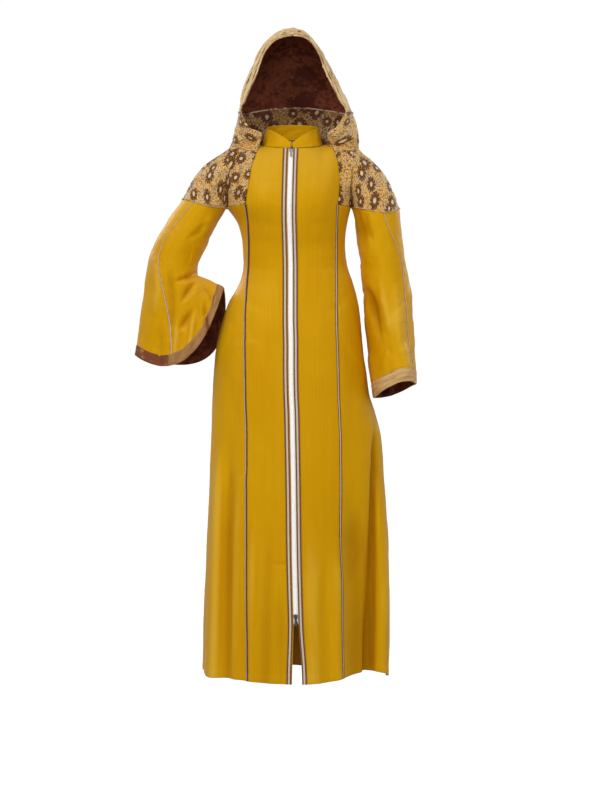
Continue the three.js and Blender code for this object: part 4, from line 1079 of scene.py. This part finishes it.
backCreases = creases("back", [
    ((-96, -170), (-60, -230), (-40, -290), 10, -3.0),
    ((98, -168), (58, -236), (34, -290), 10, -3.2),
    ((-118, -250), (-40, -262), (60, -256), 8, -2.4),
    ((120, -282), (30, -296), (-50, -286), 9, 2.6),
    ((-118, -312), (-20, -330), (70, -322), 9, -2.6),
    ((-150, -400), (-96, -460), (-60, -560), 14, -4.0),
    ((150, -396), (104, -470), (70, -580), 14, -4.4),
]) + creases("back", [
    ((0, -420), (-8, -700), (-14, -1310), 26, 7),
    ((62, -560), (70, -900), (78, -1310), 20, -8),
    ((-70, -540), (-84, -880), (-92, -1310), 20, -8),
    ((-140, -620), (-152, -900), (-158, -1310), 18, 7),
    ((130, -640), (146, -940), (154, -1310), 18, 7),
], runsOff=True)


def bodyUneven(a, b, points):  # shared by all that lies on the body
    return softNoise(points * (1, 1, 0.6), 170, 5) * 1.6 + softNoise(points * (1, 1, 0.3), 40, 11) * 0.3


def panelDetail(a, b, points):  # seam tucks, and small puckers along them
    share = acrossShare(a)
    width = 210 * np.abs(a[:, -1:] - a[:, :1])
    near = np.minimum(share, 1 - share) * width
    pucker = np.sin(b / 4.4 + 1.7 * np.sin(b / 23) + 2.1 * np.sin(a * 9)) * np.exp(-((near / 8) ** 2)) * 0.16
    hem = 0.5 * smoothstep(b, hemZ + 21, hemZ + 19) - 0.9 * np.exp(-(((b - hemZ) / 1.6) ** 2))
    return seamTuck(share, width) + pucker + hem + bodyUneven(a, b, points)


def addBody():
    made = []
    for name, sign in (("right", -1), ("left", 1)):
        level = allLevels[:, None]
        edge = acrossAt(zipX(allLevels) + sign * slotHalf(allLevels), allLevels)[:, None]
        outer = frontOuter(sign, allLevels)[:, None] - sign * seamGap
        share = spaced(0, 1, grid["front"], True)[None, :]
        panel = addWall(f"clothFront_{name}", frontSurface, blendTo(edge, outer, share), level, bodyCore,
                        ["satin", "satinWrongSideShaded"], marks=frontCreases, shape=panelDetail, rounding=30)
        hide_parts(f"front_{name}")
        level = skirtLevels[:, None]
        inner = princess(sign, skirtLevels)[:, None] + sign * seamGap
        share = spaced(0, 1, grid["side"], True)[None, :]
        side = addWall(f"clothSideFront_{name}", frontSurface, blendTo(inner, sign * sideEdge, share), level,
                       bodyCore, ["satin", "satinWrongSideShaded"], marks=frontCreases, shape=panelDetail)
        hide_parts(f"side_front_{name}")
        made += [panel, side]
    backLevels = spaced(hemZ, sizes["yokeBackLevel"], grid["levels"] - 40, True)[:, None]
    across = spaced(-sideEdge, sideEdge, grid["back"], True)[None, :]
    back = addWall("clothBack", backSurface, across, backLevels, bodyCore, ["satin", "satinWrongSideShaded"],
                   marks=backCreases, shape=panelDetail)
    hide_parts("back")
    for piece in made + [back]:
        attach(piece, "garment")


addBody()

print("yokes and caps")

yokeCreases = creases("front", [
    ((-168, -30), (-150, -70), (-140, -120), 8, -2.2),
    ((-128, -20), (-122, -70), (-126, -128), 7, 1.8),
    ((170, -30), (152, -76), (140, -124), 8, -2.4),
    ((134, -22), (128, -74), (124, -126), 7, 1.8),
]) + creases("back", [
    ((-150, -30), (-60, -60), (40, -52), 14, -2.4),
    ((150, -40), (70, -84), (-30, -90), 12, 2.2),
])


def yokeDetail(a, b, points):
    share = acrossShare(a)
    tuck = seamTuck(share, 130, 5.0, 0.4)
    low = -1.0 * np.exp(-(((b - b[0, 0]) / 2.2) ** 2))
    return tuck + low + softNoise(points, 60, 21) * 1.0 + softNoise(points, 22, 22) * 0.3


def addYokes():
    made = []
    for name, sign in (("right", -1), ("left", 1)):
        inner = frontOuter(sign, shoulderLevels)[:, None] + sign * seamGap
        share = spaced(0, 1, 52, True)[None, :]
        across = blendTo(inner, sign * sideEdge, share)
        yoke = addWall(f"clothYoke_{name}", frontSurface, across, shoulderLevels[:, None], bodyCore,
                       ["brocade"], marks=yokeCreases, shape=yokeDetail, out=0.4)
        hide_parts(f"yoke_front_{name}")
        made.append(yoke)
    level = spaced(sizes["yokeBackLevel"], sizes["shoulderSeam"], 60)[:, None]
    across = spaced(-sideEdge, sideEdge, 130, True)[None, :]
    yoke = addWall("clothYoke_back", backSurface, across, level, bodyCore, ["brocade"],
                   marks=yokeCreases, shape=yokeDetail, out=0.4)
    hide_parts("yoke_back")
    made.append(yoke)
    return made


capCreases = {
    "right": creases("front", [
        ((-176, -14), (-214, -60), (-262, -118), 11, -3.6),
        ((-170, -44), (-196, -92), (-236, -134), 9, 3.1),
        ((-166, -84), (-182, -112), (-206, -136), 8, -3.1),
    ]) + creases("back", [
        ((-176, -30), (-206, -80), (-244, -130), 10, -3.6),
        ((-170, -70), (-190, -108), (-220, -138), 9, 3.1),
    ]),
    "left": creases("front", [
        ((172, -20), (200, -70), (226, -140), 10, -3.6),
        ((168, -60), (178, -100), (196, -146), 8, 2.9),
        ((186, -20), (222, -60), (250, -130), 9, 2.4),
    ]) + creases("back", [
        ((176, -30), (206, -80), (232, -138), 10, -3.6),
        ((166, -76), (180, -110), (196, -144), 8, 2.9),
    ]),
}


def capUneven(a, b, points):
    return softNoise(points, 52, 31) * 1.3 + softNoise(points, 20, 32) * 0.35


def capDetail(a, b, points):
    over = 1.3 * smoothstep(b, 0.98, 1.02)
    return capUneven(a, b, points) + over - 0.8 * np.exp(-(((b[-1:] - b) / 0.012) ** 2))


def capCore(sign):
    return sign * 200, 0, -150


def addCaps():
    made = []
    for name, sign in (("right", -1), ("left", 1)):
        rows = sleeveRows[name]
        angle = spaced(3, 357, 130)[None, :]
        down = blendTo(-0.09, capEnd(name, angle) - 0.001, spaced(0, 1, 60, True)[:, None])
        cap = addWall(f"clothCap_{name}", partial(capPoint, rows, sign), angle, down, capCore(sign),
                      ["brocade"], marks=capCreases[name], shape=capDetail, out=0.3)
        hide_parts(f"cap_{name}")
        made.append(cap)
    return made


brocadePieces = addYokes() + addCaps()

print("sleeves and cuffs")

sleeveCreases = {
    "right": creases("front", [
        ((-228, -302), (-257, -322), (-290, -334), 7, -8),
        ((-240, -334), (-258, -358), (-274, -386), 8, -9),
        ((-244, -402), (-262, -428), (-280, -456), 9, -9),
        ((-238, -312), (-212, -322), (-178, -340), 6, 4),
        ((-224, -336), (-198, -364), (-192, -404), 8, -6),
        ((-338, -280), (-330, -352), (-344, -424), 12, 8.8),
        ((-302, -300), (-298, -380), (-304, -470), 11, -8.8),
        ((-212, -186), (-232, -212), (-256, -226), 9, -4.8),
        ((-200, -166), (-212, -190), (-222, -222), 8, 4),
    ]) + creases("front", [
        ((-243, -404), (-248, -450), (-256, -510), 7, 7),
        ((-280, -420), (-286, -470), (-292, -530), 9, 7.2),
        ((-214, -372), (-212, -420), (-208, -460), 8, -7.2),
        ((-320, -440), (-326, -480), (-330, -530), 9, -6.4),
    ], runsOff=True) + creases("back", [
        ((-262, -352), (-236, -328), (-224, -310), 10, -8),
        ((-330, -290), (-322, -360), (-334, -440), 13, 8),
        ((-296, -330), (-300, -400), (-306, -480), 12, -8),
    ]) + creases("back", [
        ((-250, -380), (-256, -430), (-262, -500), 10, 8),
    ], runsOff=True),
    "left": creases("front", [
        ((158, -150), (168, -200), (176, -258), 13, -9),
        ((176, -160), (184, -200), (196, -236), 9, -5),
        ((178, -342), (196, -392), (214, -478), 12, -12),
        ((214, -330), (228, -400), (240, -470), 12, 8),
        ((254, -350), (256, -430), (262, -520), 15, 8),
        ((160, -196), (186, -216), (214, -222), 12, -1.6),
        ((170, -286), (196, -300), (222, -300), 12, -1.6),
        ((166, -240), (196, -262), (230, -262), 14, 1.2),
    ]) + creases("front", [
        ((226, -470), (236, -520), (244, -590), 14, -4),
        ((266, -470), (274, -520), (284, -590), 11, 6.4),
        ((190, -500), (198, -540), (206, -590), 9, 6.4),
    ], runsOff=True) + creases("back", [
        ((184, -330), (206, -400), (222, -500), 13, -11.2),
        ((240, -340), (250, -430), (258, -530), 14, 8),
        ((170, -210), (200, -236), (236, -240), 10, -4.8),
    ]) + creases("back", [
        ((214, -490), (226, -540), (236, -600), 12, 8),
    ], runsOff=True),
}


def sleeveDetail(a, b, points):
    share = acrossShare(a)
    tuck = seamTuck(share, 170) - 0.9 * np.exp(-(((b[-1, 0] - b) / 0.05) ** 2))
    along = points[..., 2] + points[..., 0] * 0.2
    near = np.minimum(share, 1 - share) * 170
    pucker = np.sin(along / 4.6 + 1.5 * np.sin(along / 19)) * np.exp(-((near / 8) ** 2)) * 0.3
    return tuck + pucker + sleeveUneven(a, b, points)


def sleeveUneven(a, b, points):
    return softNoise(points, 90, 41) * 1.4 + softNoise(points, 34, 42) * 0.3


cuffReach = {"right": (0.3, 1.7), "left": (0.0, 0.0)}  # how far over the sleeve, outside and inside
facingRows = {"right": 3.6, "left": 2.2}  # how far the velvet reaches up inside, in rows of the sleeve


def sleeveCore(rows, row):  # the middle of the sleeve at one of its rows
    return (rows["ix"][row] + rows["ox"][row]) / 2, 0, (rows["iz"][row] + rows["oz"][row]) / 2


def cuffRoll(a, b, points):  # the band is rounded over at both of its edges
    share = (b - b[:1]) / (b[-1:] - b[:1])
    turned = 1.2 * np.exp(-((share / 0.05) ** 2)) + 1.4 * np.exp(-(((1 - share) / 0.05) ** 2))
    return 1.2 - turned + sleeveUneven(a, b, points)


def addSleeves():
    made, cuffs, facings = [], [], []
    for name in ("right", "left"):
        rows = sleeveRows[name]
        last = len(rows["ix"]) - 1
        core, cuffCore = sleeveCore(rows, (last - 1) // 2), sleeveCore(rows, last)
        surface = partial(sleevePoint, rows)
        row = spaced(0.012, last - 1, 156, True)
        seam = numbered(rows, "piping", row)[:, None]
        share = spaced(0, 1, 54, True)[None, :]
        for part, low, high in (("Front", 0.15, seam - 0.15), ("Back", seam + 0.15, 359.85)):
            angle = blendTo(low, high, share)
            sleeve = addWall(f"clothSleeve{part}_{name}", surface, angle, row[:, None], core,
                             ["satin", "satinWrongSideShaded"], marks=sleeveCreases[name], shape=sleeveDetail)
            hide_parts(f"sleeve_{part.lower()}_{name}")
            made.append(sleeve)
        angle = np.linspace(0, 360, 181)[None, :]
        inner = ((1 + np.cos(np.radians(angle))) / 2) ** 3
        start = last - 1.0 - cuffReach[name][0] - cuffReach[name][1] * inner
        band = blendTo(start, last, spaced(0, 1, 20, True)[:, None])
        cuff = addWall(f"velvetCuff_{name}", surface, angle, band, cuffCore, [f"cuffVelvet_{name}", "lining"],
                       thickness=2.0, ringed=True, shape=cuffRoll, marks=sleeveCreases[name])
        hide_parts(f"cuff_{name}")
        cuffs.append(cuff)
        band = spaced(last - facingRows[name], last - 0.01, 36)[:, None]
        facing = addWall(f"velvetFacing_{name}", surface, angle, band, cuffCore, ["lining"], thickness=1.0,
                         ringed=True, out=-1.9, shape=sleeveUneven, marks=sleeveCreases[name])
        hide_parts(f"cuff_facing_{name}")
        facings.append(facing)
    return made, cuffs, facings


sleevePieces, cuffPieces, facingPieces = addSleeves()

print("hood and collar")

# Troughs and ridges that run up beside the hood's edge: how far from it, and their width, depth and sway.
hoodFolds = [
    (0.022, 0.007, -2.2, 0.005),
    (0.05, 0.011, 2.0, 0.008),
    (0.082, 0.014, -4.8, 0.013),
    (0.115, 0.014, 2.8, 0.016),
    (0.15, 0.016, -5.2, 0.02),
    (0.19, 0.018, 2.6, 0.024),
    (0.24, 0.022, -4.6, 0.028),
    (0.34, 0.026, -4.0, 0.03),
]
hoodCreases = creases("back", [
    ((-60, 110), (-20, 160), (30, 176), 12, -2.2),
    ((70, 100), (30, 140), (-30, 150), 12, 3.4),
    ((-80, 150), (-30, 220), (10, 240), 14, -2.2),
    ((84, 170), (40, 214), (0, 226), 12, 3.6),
])


def hoodDetail(a, b, points):
    along = 1 - np.abs(a)
    rise = softNoise(points, 46, 61) * 1.1 + softNoise(points, 18, 62) * 0.4
    for number, (start, width, depth, sway) in enumerate(hoodFolds):
        wander = np.sin(b * (0.9 + 0.13 * number) + number * 2.1 + np.sign(a) * 0.8)
        place = start + sway * wander
        strength = 0.62 + 0.38 * np.sin(b * 1.3 + number * 1.7)
        rise = rise + depth * strength * np.exp(-(((along - place) / width) ** 2))
    rise = rise - 1.2 * np.exp(-((along / 0.008) ** 2)) - 1.4 * np.exp(-(((b - hoodSeamRow) / 0.05) ** 2))
    return rise * (1 - smoothstep(b, 11.2, 12)) - 0.8 * smoothstep(b, 11.6, 12)


def baseUneven(a, b, points):
    along = 1 - np.abs(a)
    folds = np.sin(along * 19 + np.sin(b * 1.2) * 0.8 + np.sign(a)) * 1.1 * smoothstep(along, 0.08, 0.2)
    folds = folds * smoothstep(b, 0.2, 1.2) * (1 - smoothstep(b, 3.2, 4))
    return folds + softNoise(points, 50, 71) * 1.6 + softNoise(points, 20, 72) * 0.5


def baseDetail(a, b, points):  # its foot sinks into the yokes, so that no edge shows
    along = 1 - np.abs(a)
    rise = -1.0 * np.exp(-((along / 0.008) ** 2)) - 1.2 * np.exp(-(((hoodSeamRow - b) / 0.05) ** 2))
    return rise - 3.4 * np.exp(-(((b + 1) / 0.4) ** 2)) + baseUneven(a, b, points)


def footSmoothed(points, row):  # a soft bend where the funnel rises from the yokes
    return smoothed(points, 0.5 * np.exp(-((row / 0.7) ** 2)), 26)


baseCreases = creases("front", [
    ((-146, 66), (-128, 34), (-104, 2), 8, -3),
    ((-150, 36), (-134, 8), (-118, -20), 8, 2.6),
    ((146, 70), (130, 36), (106, 4), 8, -3),
    ((160, 44), (142, 10), (120, -16), 8, 2.6),
])

hoodCore = (5, 20, 80)
crownCore = (5, 30, 180)


def funnelPoint(around, row):
    return footSmoothed(hoodBasePoint(around, row), row)


def hoodHalfPoint(sign, around, row):  # the halves stop just short of each other
    return hoodPoint(around, row) + np.array([sign * 0.02, 0, 0])


def collarDetail(a, b, points):
    return 0.8 * np.sin(b * np.pi) + softNoise(points, 30, 81) * 0.5


def addHood():
    around = np.concatenate([spaced(-1, 0, 76), spaced(0, 1, 76)[1:]])[None, :]
    row = np.concatenate([np.linspace(-1, 0, 16)[:-1], spaced(0, hoodSeamRow - 0.01, 80, True)])[:, None]
    base = addWall("clothHoodBase", funnelPoint, around, row, hoodCore, ["brocade", "brocadeShadedInside"],
                   marks=baseCreases, shape=baseDetail)
    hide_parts("hood_base")
    halves = []
    row = spaced(hoodSeamRow - 0.03, 12, 124, True)[:, None]
    for name, sign in (("right", -1), ("left", 1)):
        around = sign * (1 - 0.99999 * spaced(0, 1, 104, True) ** 1.8)[None, :]
        half = addWall(f"velvetHood_{name}", partial(hoodHalfPoint, sign), around, row, crownCore,
                       ["hoodVelvet", "lining"], thickness=1.8, marks=hoodCreases, shape=hoodDetail,
                       centred=False)
        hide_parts(f"hood_{name}")
        halves.append(half)
    around = spaced(-0.99, 0.99, 170, True)[None, :]
    up = np.linspace(0, 1, 26)[:, None]
    collar = addWall("clothCollar", collarPoint, around, up, (0, 0, 30), ["satin"], shape=collarDetail)
    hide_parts("collar")
    return base, halves, collar


hoodBase, hoodHalves, collarPiece = addHood()

print("zip and trimmings")


def rounded(share):  # a cord's crown across a narrow strip
    return np.sqrt(np.clip(1 - (2 * share - 1) ** 2, 0, 1))


def addStrip(name, surface, a, b, core, wears, height, thickness, out, marks, under):
    def crown(across, along, points):
        rise = height * rounded(np.linspace(0, 1, across.shape[1]))[None, :]
        return rise + under(across, along, points)

    return addWall(name, surface, a, b, core, wears, thickness=thickness, out=out, shape=crown,
                   marks=marks, centred=False)


def crosswise(surface):  # the same surface with its two values the other way round
    return lambda a, b: surface(b, a)


def capCordRise(a, b, points):
    return capUneven(a, b, points) + 1.3 * smoothstep(a, 0.98, 1.02)


def hoodCordRise(a, b, points):
    return baseUneven(b, a, points)


braidReach = {"right": (8, 20), "left": (5.4, 17.4)}  # from the zip's slot, in millimetres


def addTrimmings():
    made = {"braid": [], "piping": [], "tape": []}
    level = np.minimum(allLevels, -1.0)
    for name, sign in (("right", -1), ("left", 1)):
        start = zipX(level) + sign * (slotHalf(level) - sizes["slotHalf"])
        across = np.linspace(*braidReach[name], 9)[None, :]
        a = acrossAt(start[:, None] + sign * across, level[:, None] + 0 * across)
        braidStrip = addWall(f"braidStrip_{name}", frontSurface, a, level[:, None], bodyCore, ["braid"],
                             thickness=1.3, out=1.7, marks=frontCreases, shape=bodyUneven, centred=False,
                             rounding=30)
        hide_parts(f"braid_{name}")
        made["braid"].append(braidStrip)
        hidden = 1 - smoothstep(level, sizes["zipBottomZ"] - 26, sizes["zipBottomZ"] - 2)
        near = slotHalf(level) - sizes["slotHalf"] + 0.3 + 7 * hidden
        across = np.linspace(0, 11, 5)[None, :]
        a = acrossAt((zipX(level) + sign * near)[:, None] + sign * across, level[:, None] + 0 * across)
        tape = addWall(f"zipTapeCloth_{name}", frontSurface, a, level[:, None], bodyCore, ["tape"],
                       thickness=0.9, out=-1.3, marks=frontCreases, shape=bodyUneven, centred=False,
                       rounding=30)
        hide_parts(f"zip_tape_{name}")
        made["tape"].append(tape)
        low = skirtLevels[:-1]
        inner = column(bodyRows, "z", "seamRight" if sign < 0 else "seamLeft", low)
        across = np.linspace(-3.2, 3.2, 11)[None, :]
        a = acrossAt(inner[:, None] + across, low[:, None] + 0 * across)
        cord = addStrip(f"pipingFront_{name}", frontSurface, a, low[:, None], bodyCore, ["seamPiping"],
                        1.8, 1.2, -0.3, frontCreases, bodyUneven)
        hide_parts(f"piping_front_{name}")
        made["piping"].append(cord)
        rows = sleeveRows[name]
        last = len(rows["ix"]) - 1
        core = sleeveCore(rows, (last - 1) // 2)
        row = np.linspace(0.05, last - 1.02, 260)
        seam = numbered(rows, "piping", row)[:, None] + np.linspace(-1.1, 1.1, 9)[None, :]
        cord = addStrip(f"pipingSleeve_{name}", partial(sleevePoint, rows), seam, row[:, None], core,
                        ["piping"], 1.6, 1.2, -0.5, sleeveCreases[name], sleeveUneven)
        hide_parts(f"piping_sleeve_{name}")
        made["piping"].append(cord)
        angle = np.linspace(3, 357, 260)[:, None]
        down = capEnd(name, angle) - 0.022 + np.linspace(-0.018, 0.018, 7)[None, :]
        surface = crosswise(partial(capPoint, rows, sign))
        cord = addStrip(f"pipingCap_{name}", surface, down, angle, capCore(sign), ["piping"], 1.6, 1.0, 0.4,
                        capCreases[name], capCordRise)
        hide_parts(f"piping_cap_{name}")
        made["piping"].append(cord)
    around = np.linspace(-1, 1, 360)[:, None]
    row = hoodSeamRow - 0.03 + np.linspace(-0.05, 0.05, 7)[None, :]
    surface = crosswise(hoodBasePoint)
    cord = addStrip("pipingHoodSeam", surface, row, around, hoodCore, ["piping"], 1.7, 1.2, 0.2,
                    baseCreases, hoodCordRise)
    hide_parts("piping_hood")
    made["piping"].append(cord)
    inside = addStrip("seamTapeHood", surface, row, around, hoodCore, ["piping"], 0.6, 0.5, -3.2,
                      baseCreases, hoodCordRise)
    made["piping"].append(inside)
    return made


trimmings = addTrimmings()

teeth = {"pitch": 2.4, "width": 3.4, "height": 0.9, "length": 1.6, "out": 0.3, "stagger": 0.45}


def addTeeth():  # the closed zip's two rows of teeth, as one mesh on the chain's line
    level = np.arange(sizes["zipBottomZ"] + 8, sizes["zipTopZ"] - 8, teeth["pitch"] / 2)
    side = np.where(np.arange(len(level)) % 2, 1.0, -1.0)
    across = acrossAt(zipX(level) + side * teeth["stagger"], level)
    centre = bodyPoint(True, across, level)
    up = unit(bodyPoint(True, across, level + 1) - bodyPoint(True, across, level - 1))
    sideways = unit(np.array([1.0, 0, 0]) - up * up[:, :1])
    outward = unit(np.cross(sideways, up))
    outward = outward * np.where(outward[:, 1:2] > 0, -1, 1)
    lift = teeth["out"] + creaseRise(centre, frontCreases) + bodyUneven(0, 0, centre)
    centre = centre + outward * lift[:, None]
    corners = []
    for along in (-0.5, 0.5):
        for high, spread in ((-0.5, 1.0), (0.5, 0.72)):
            for aside in (-0.5, 0.5):
                corners.append(centre + up * along * teeth["length"] * spread
                               + outward * high * teeth["height"]
                               + sideways * aside * teeth["width"] * spread)
    points = np.stack(corners, axis=1).reshape(-1, 3)
    box = np.array([(0, 1, 3, 2), (4, 6, 7, 5), (0, 4, 5, 1), (2, 3, 7, 6), (0, 2, 6, 4), (1, 5, 7, 3)])
    faces = (np.arange(len(level))[:, None, None] * 8 + box[None]).reshape(-1, 4)
    made = addMesh("zipTeeth", points, faces, np.zeros((faces.size, 2)), np.zeros(len(faces)), ["teeth"])
    made.data.polygons.foreach_set("use_smooth", np.zeros(len(faces), bool))
    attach(made, "garment")


addTeeth()


def dressMetal():  # the sliders and their pulls keep their shape and get a better finish
    for place, material in (("top", "silver"), ("bottom", "gunmetal")):
        for part in ("slider", "pull"):
            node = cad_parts[f"zip_{part}_{place}"]
            for slotPlace in node.material_slots:
                slotPlace.material = materials[material]
    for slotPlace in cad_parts["zip_chain"].material_slots:
        slotPlace.material = materials["teeth"]


dressMetal()

for slotName, pieces in (
    ("brocade", brocadePieces + [hoodBase]), ("satin", sleevePieces + [collarPiece]),
    ("velvet", cuffPieces + hoodHalves), ("facing", facingPieces), ("braid", trimmings["braid"]),
    ("piping", trimmings["piping"]), ("zip_tape", trimmings["tape"]),
):
    for piece in pieces:
        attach(piece, "garment")


print("cut sizes")

cuts = {  # width, length and area of what shows of each sheet, in metres, all round on a tube
    "clothFront_right": (0.125, 1.38, 0.152), "clothFront_left": (0.14, 1.37, 0.156),
    "clothSideFront_right": (0.22, 1.19, 0.176), "clothSideFront_left": (0.245, 1.19, 0.189),
    "clothBack": (0.73, 1.255, 0.68),
    "clothYoke_right": (0.105, 0.205, 0.0155), "clothYoke_left": (0.095, 0.2, 0.011),
    "clothYoke_back": (0.41, 0.135, 0.044),
    "clothCap_right": (0.375, 0.18, 0.037), "clothCap_left": (0.385, 0.19, 0.04),
    "clothSleeveFront_right": (0.265, 0.425, 0.05), "clothSleeveBack_right": (0.55, 0.43, 0.12),
    "clothSleeveFront_left": (0.23, 0.45, 0.068), "clothSleeveBack_left": (0.36, 0.45, 0.12),
    "velvetCuff_right": (0.855, 0.036, 0.029), "velvetCuff_left": (0.605, 0.04, 0.022),
    "velvetFacing_right": (0.84, 0.115, 0.06), "velvetFacing_left": (0.585, 0.105, 0.052),
    "clothHoodBase": (0.635, 0.195, 0.082), "velvetHood_right": (0.285, 0.29, 0.059),
    "velvetHood_left": (0.285, 0.285, 0.059), "clothCollar": (0.422, 0.044, 0.0153),
    "braidStrip_right": (0.0125, 1.325, 0.0165), "braidStrip_left": (0.0125, 1.325, 0.0165),
    "zipTapeCloth_right": (0.0115, 1.325, 0.0152), "zipTapeCloth_left": (0.0115, 1.325, 0.0152),
}
hangsFrom = {
    "clothFront": "clothYoke_right", "clothSideFront": "clothYoke_right", "clothBack": "clothYoke_back",
    "clothSleeveFront_right": "clothCap_right", "clothSleeveBack_right": "clothCap_right",
    "clothSleeveFront_left": "clothCap_left", "clothSleeveBack_left": "clothCap_left",
    "velvetCuff_right": "clothSleeveBack_right", "velvetCuff_left": "clothSleeveBack_left",
    "velvetFacing_right": "velvetCuff_right", "velvetFacing_left": "velvetCuff_left",
    "velvetHood": "clothHoodBase", "clothHoodBase": "clothYoke_back",
    "braidStrip": "clothFront_right", "zipTapeCloth": "clothFront_right",
}


def supportOf(pieceName):  # what a piece hangs from, on its own side
    for start, support in hangsFrom.items():
        if pieceName.startswith(start):
            return [support.replace("_right", "_left") if pieceName.endswith("_left") else support]
    return []


for pieceName, (width, length, area) in cuts.items():
    supportOf(pieceName)


print("stage")


def addStage():  # a plain white floor at the wearer's feet, which lights nothing and is clear from below
    paper = bpy.data.materials.new("studioWhite")
    paper.use_nodes = True
    nodes, links = paper.node_tree.nodes, paper.node_tree.links
    shader = nodes["Principled BSDF"]
    shader.inputs["Base Color"].default_value = (0, 0, 0, 1)
    shader.inputs["Emission Color"].default_value = (1, 1, 1, 1)
    shader.inputs["Emission Strength"].default_value = room["white"]
    side = nodes.new("ShaderNodeNewGeometry")
    clear = nodes.new("ShaderNodeBsdfTransparent")
    mix = nodes.new("ShaderNodeMixShader")
    links.new(side.outputs["Backfacing"], mix.inputs["Fac"])
    links.new(shader.outputs["BSDF"], mix.inputs[1])
    links.new(clear.outputs["BSDF"], mix.inputs[2])
    links.new(mix.outputs["Shader"], nodes["Material Output"].inputs["Surface"])
    reach, level = room["floorReach"], room["floorLevel"]
    corners = [(-reach, -reach, level), (reach, -reach, level), (reach, reach, level), (-reach, reach, level)]
    floor = addMesh("floor", np.array(corners), np.array([[0, 1, 2, 3]]), np.zeros((4, 2)), np.zeros(1), [])
    floor.data.materials.append(paper)
    floor.visible_diffuse = False
    floor.visible_glossy = False


addStage()
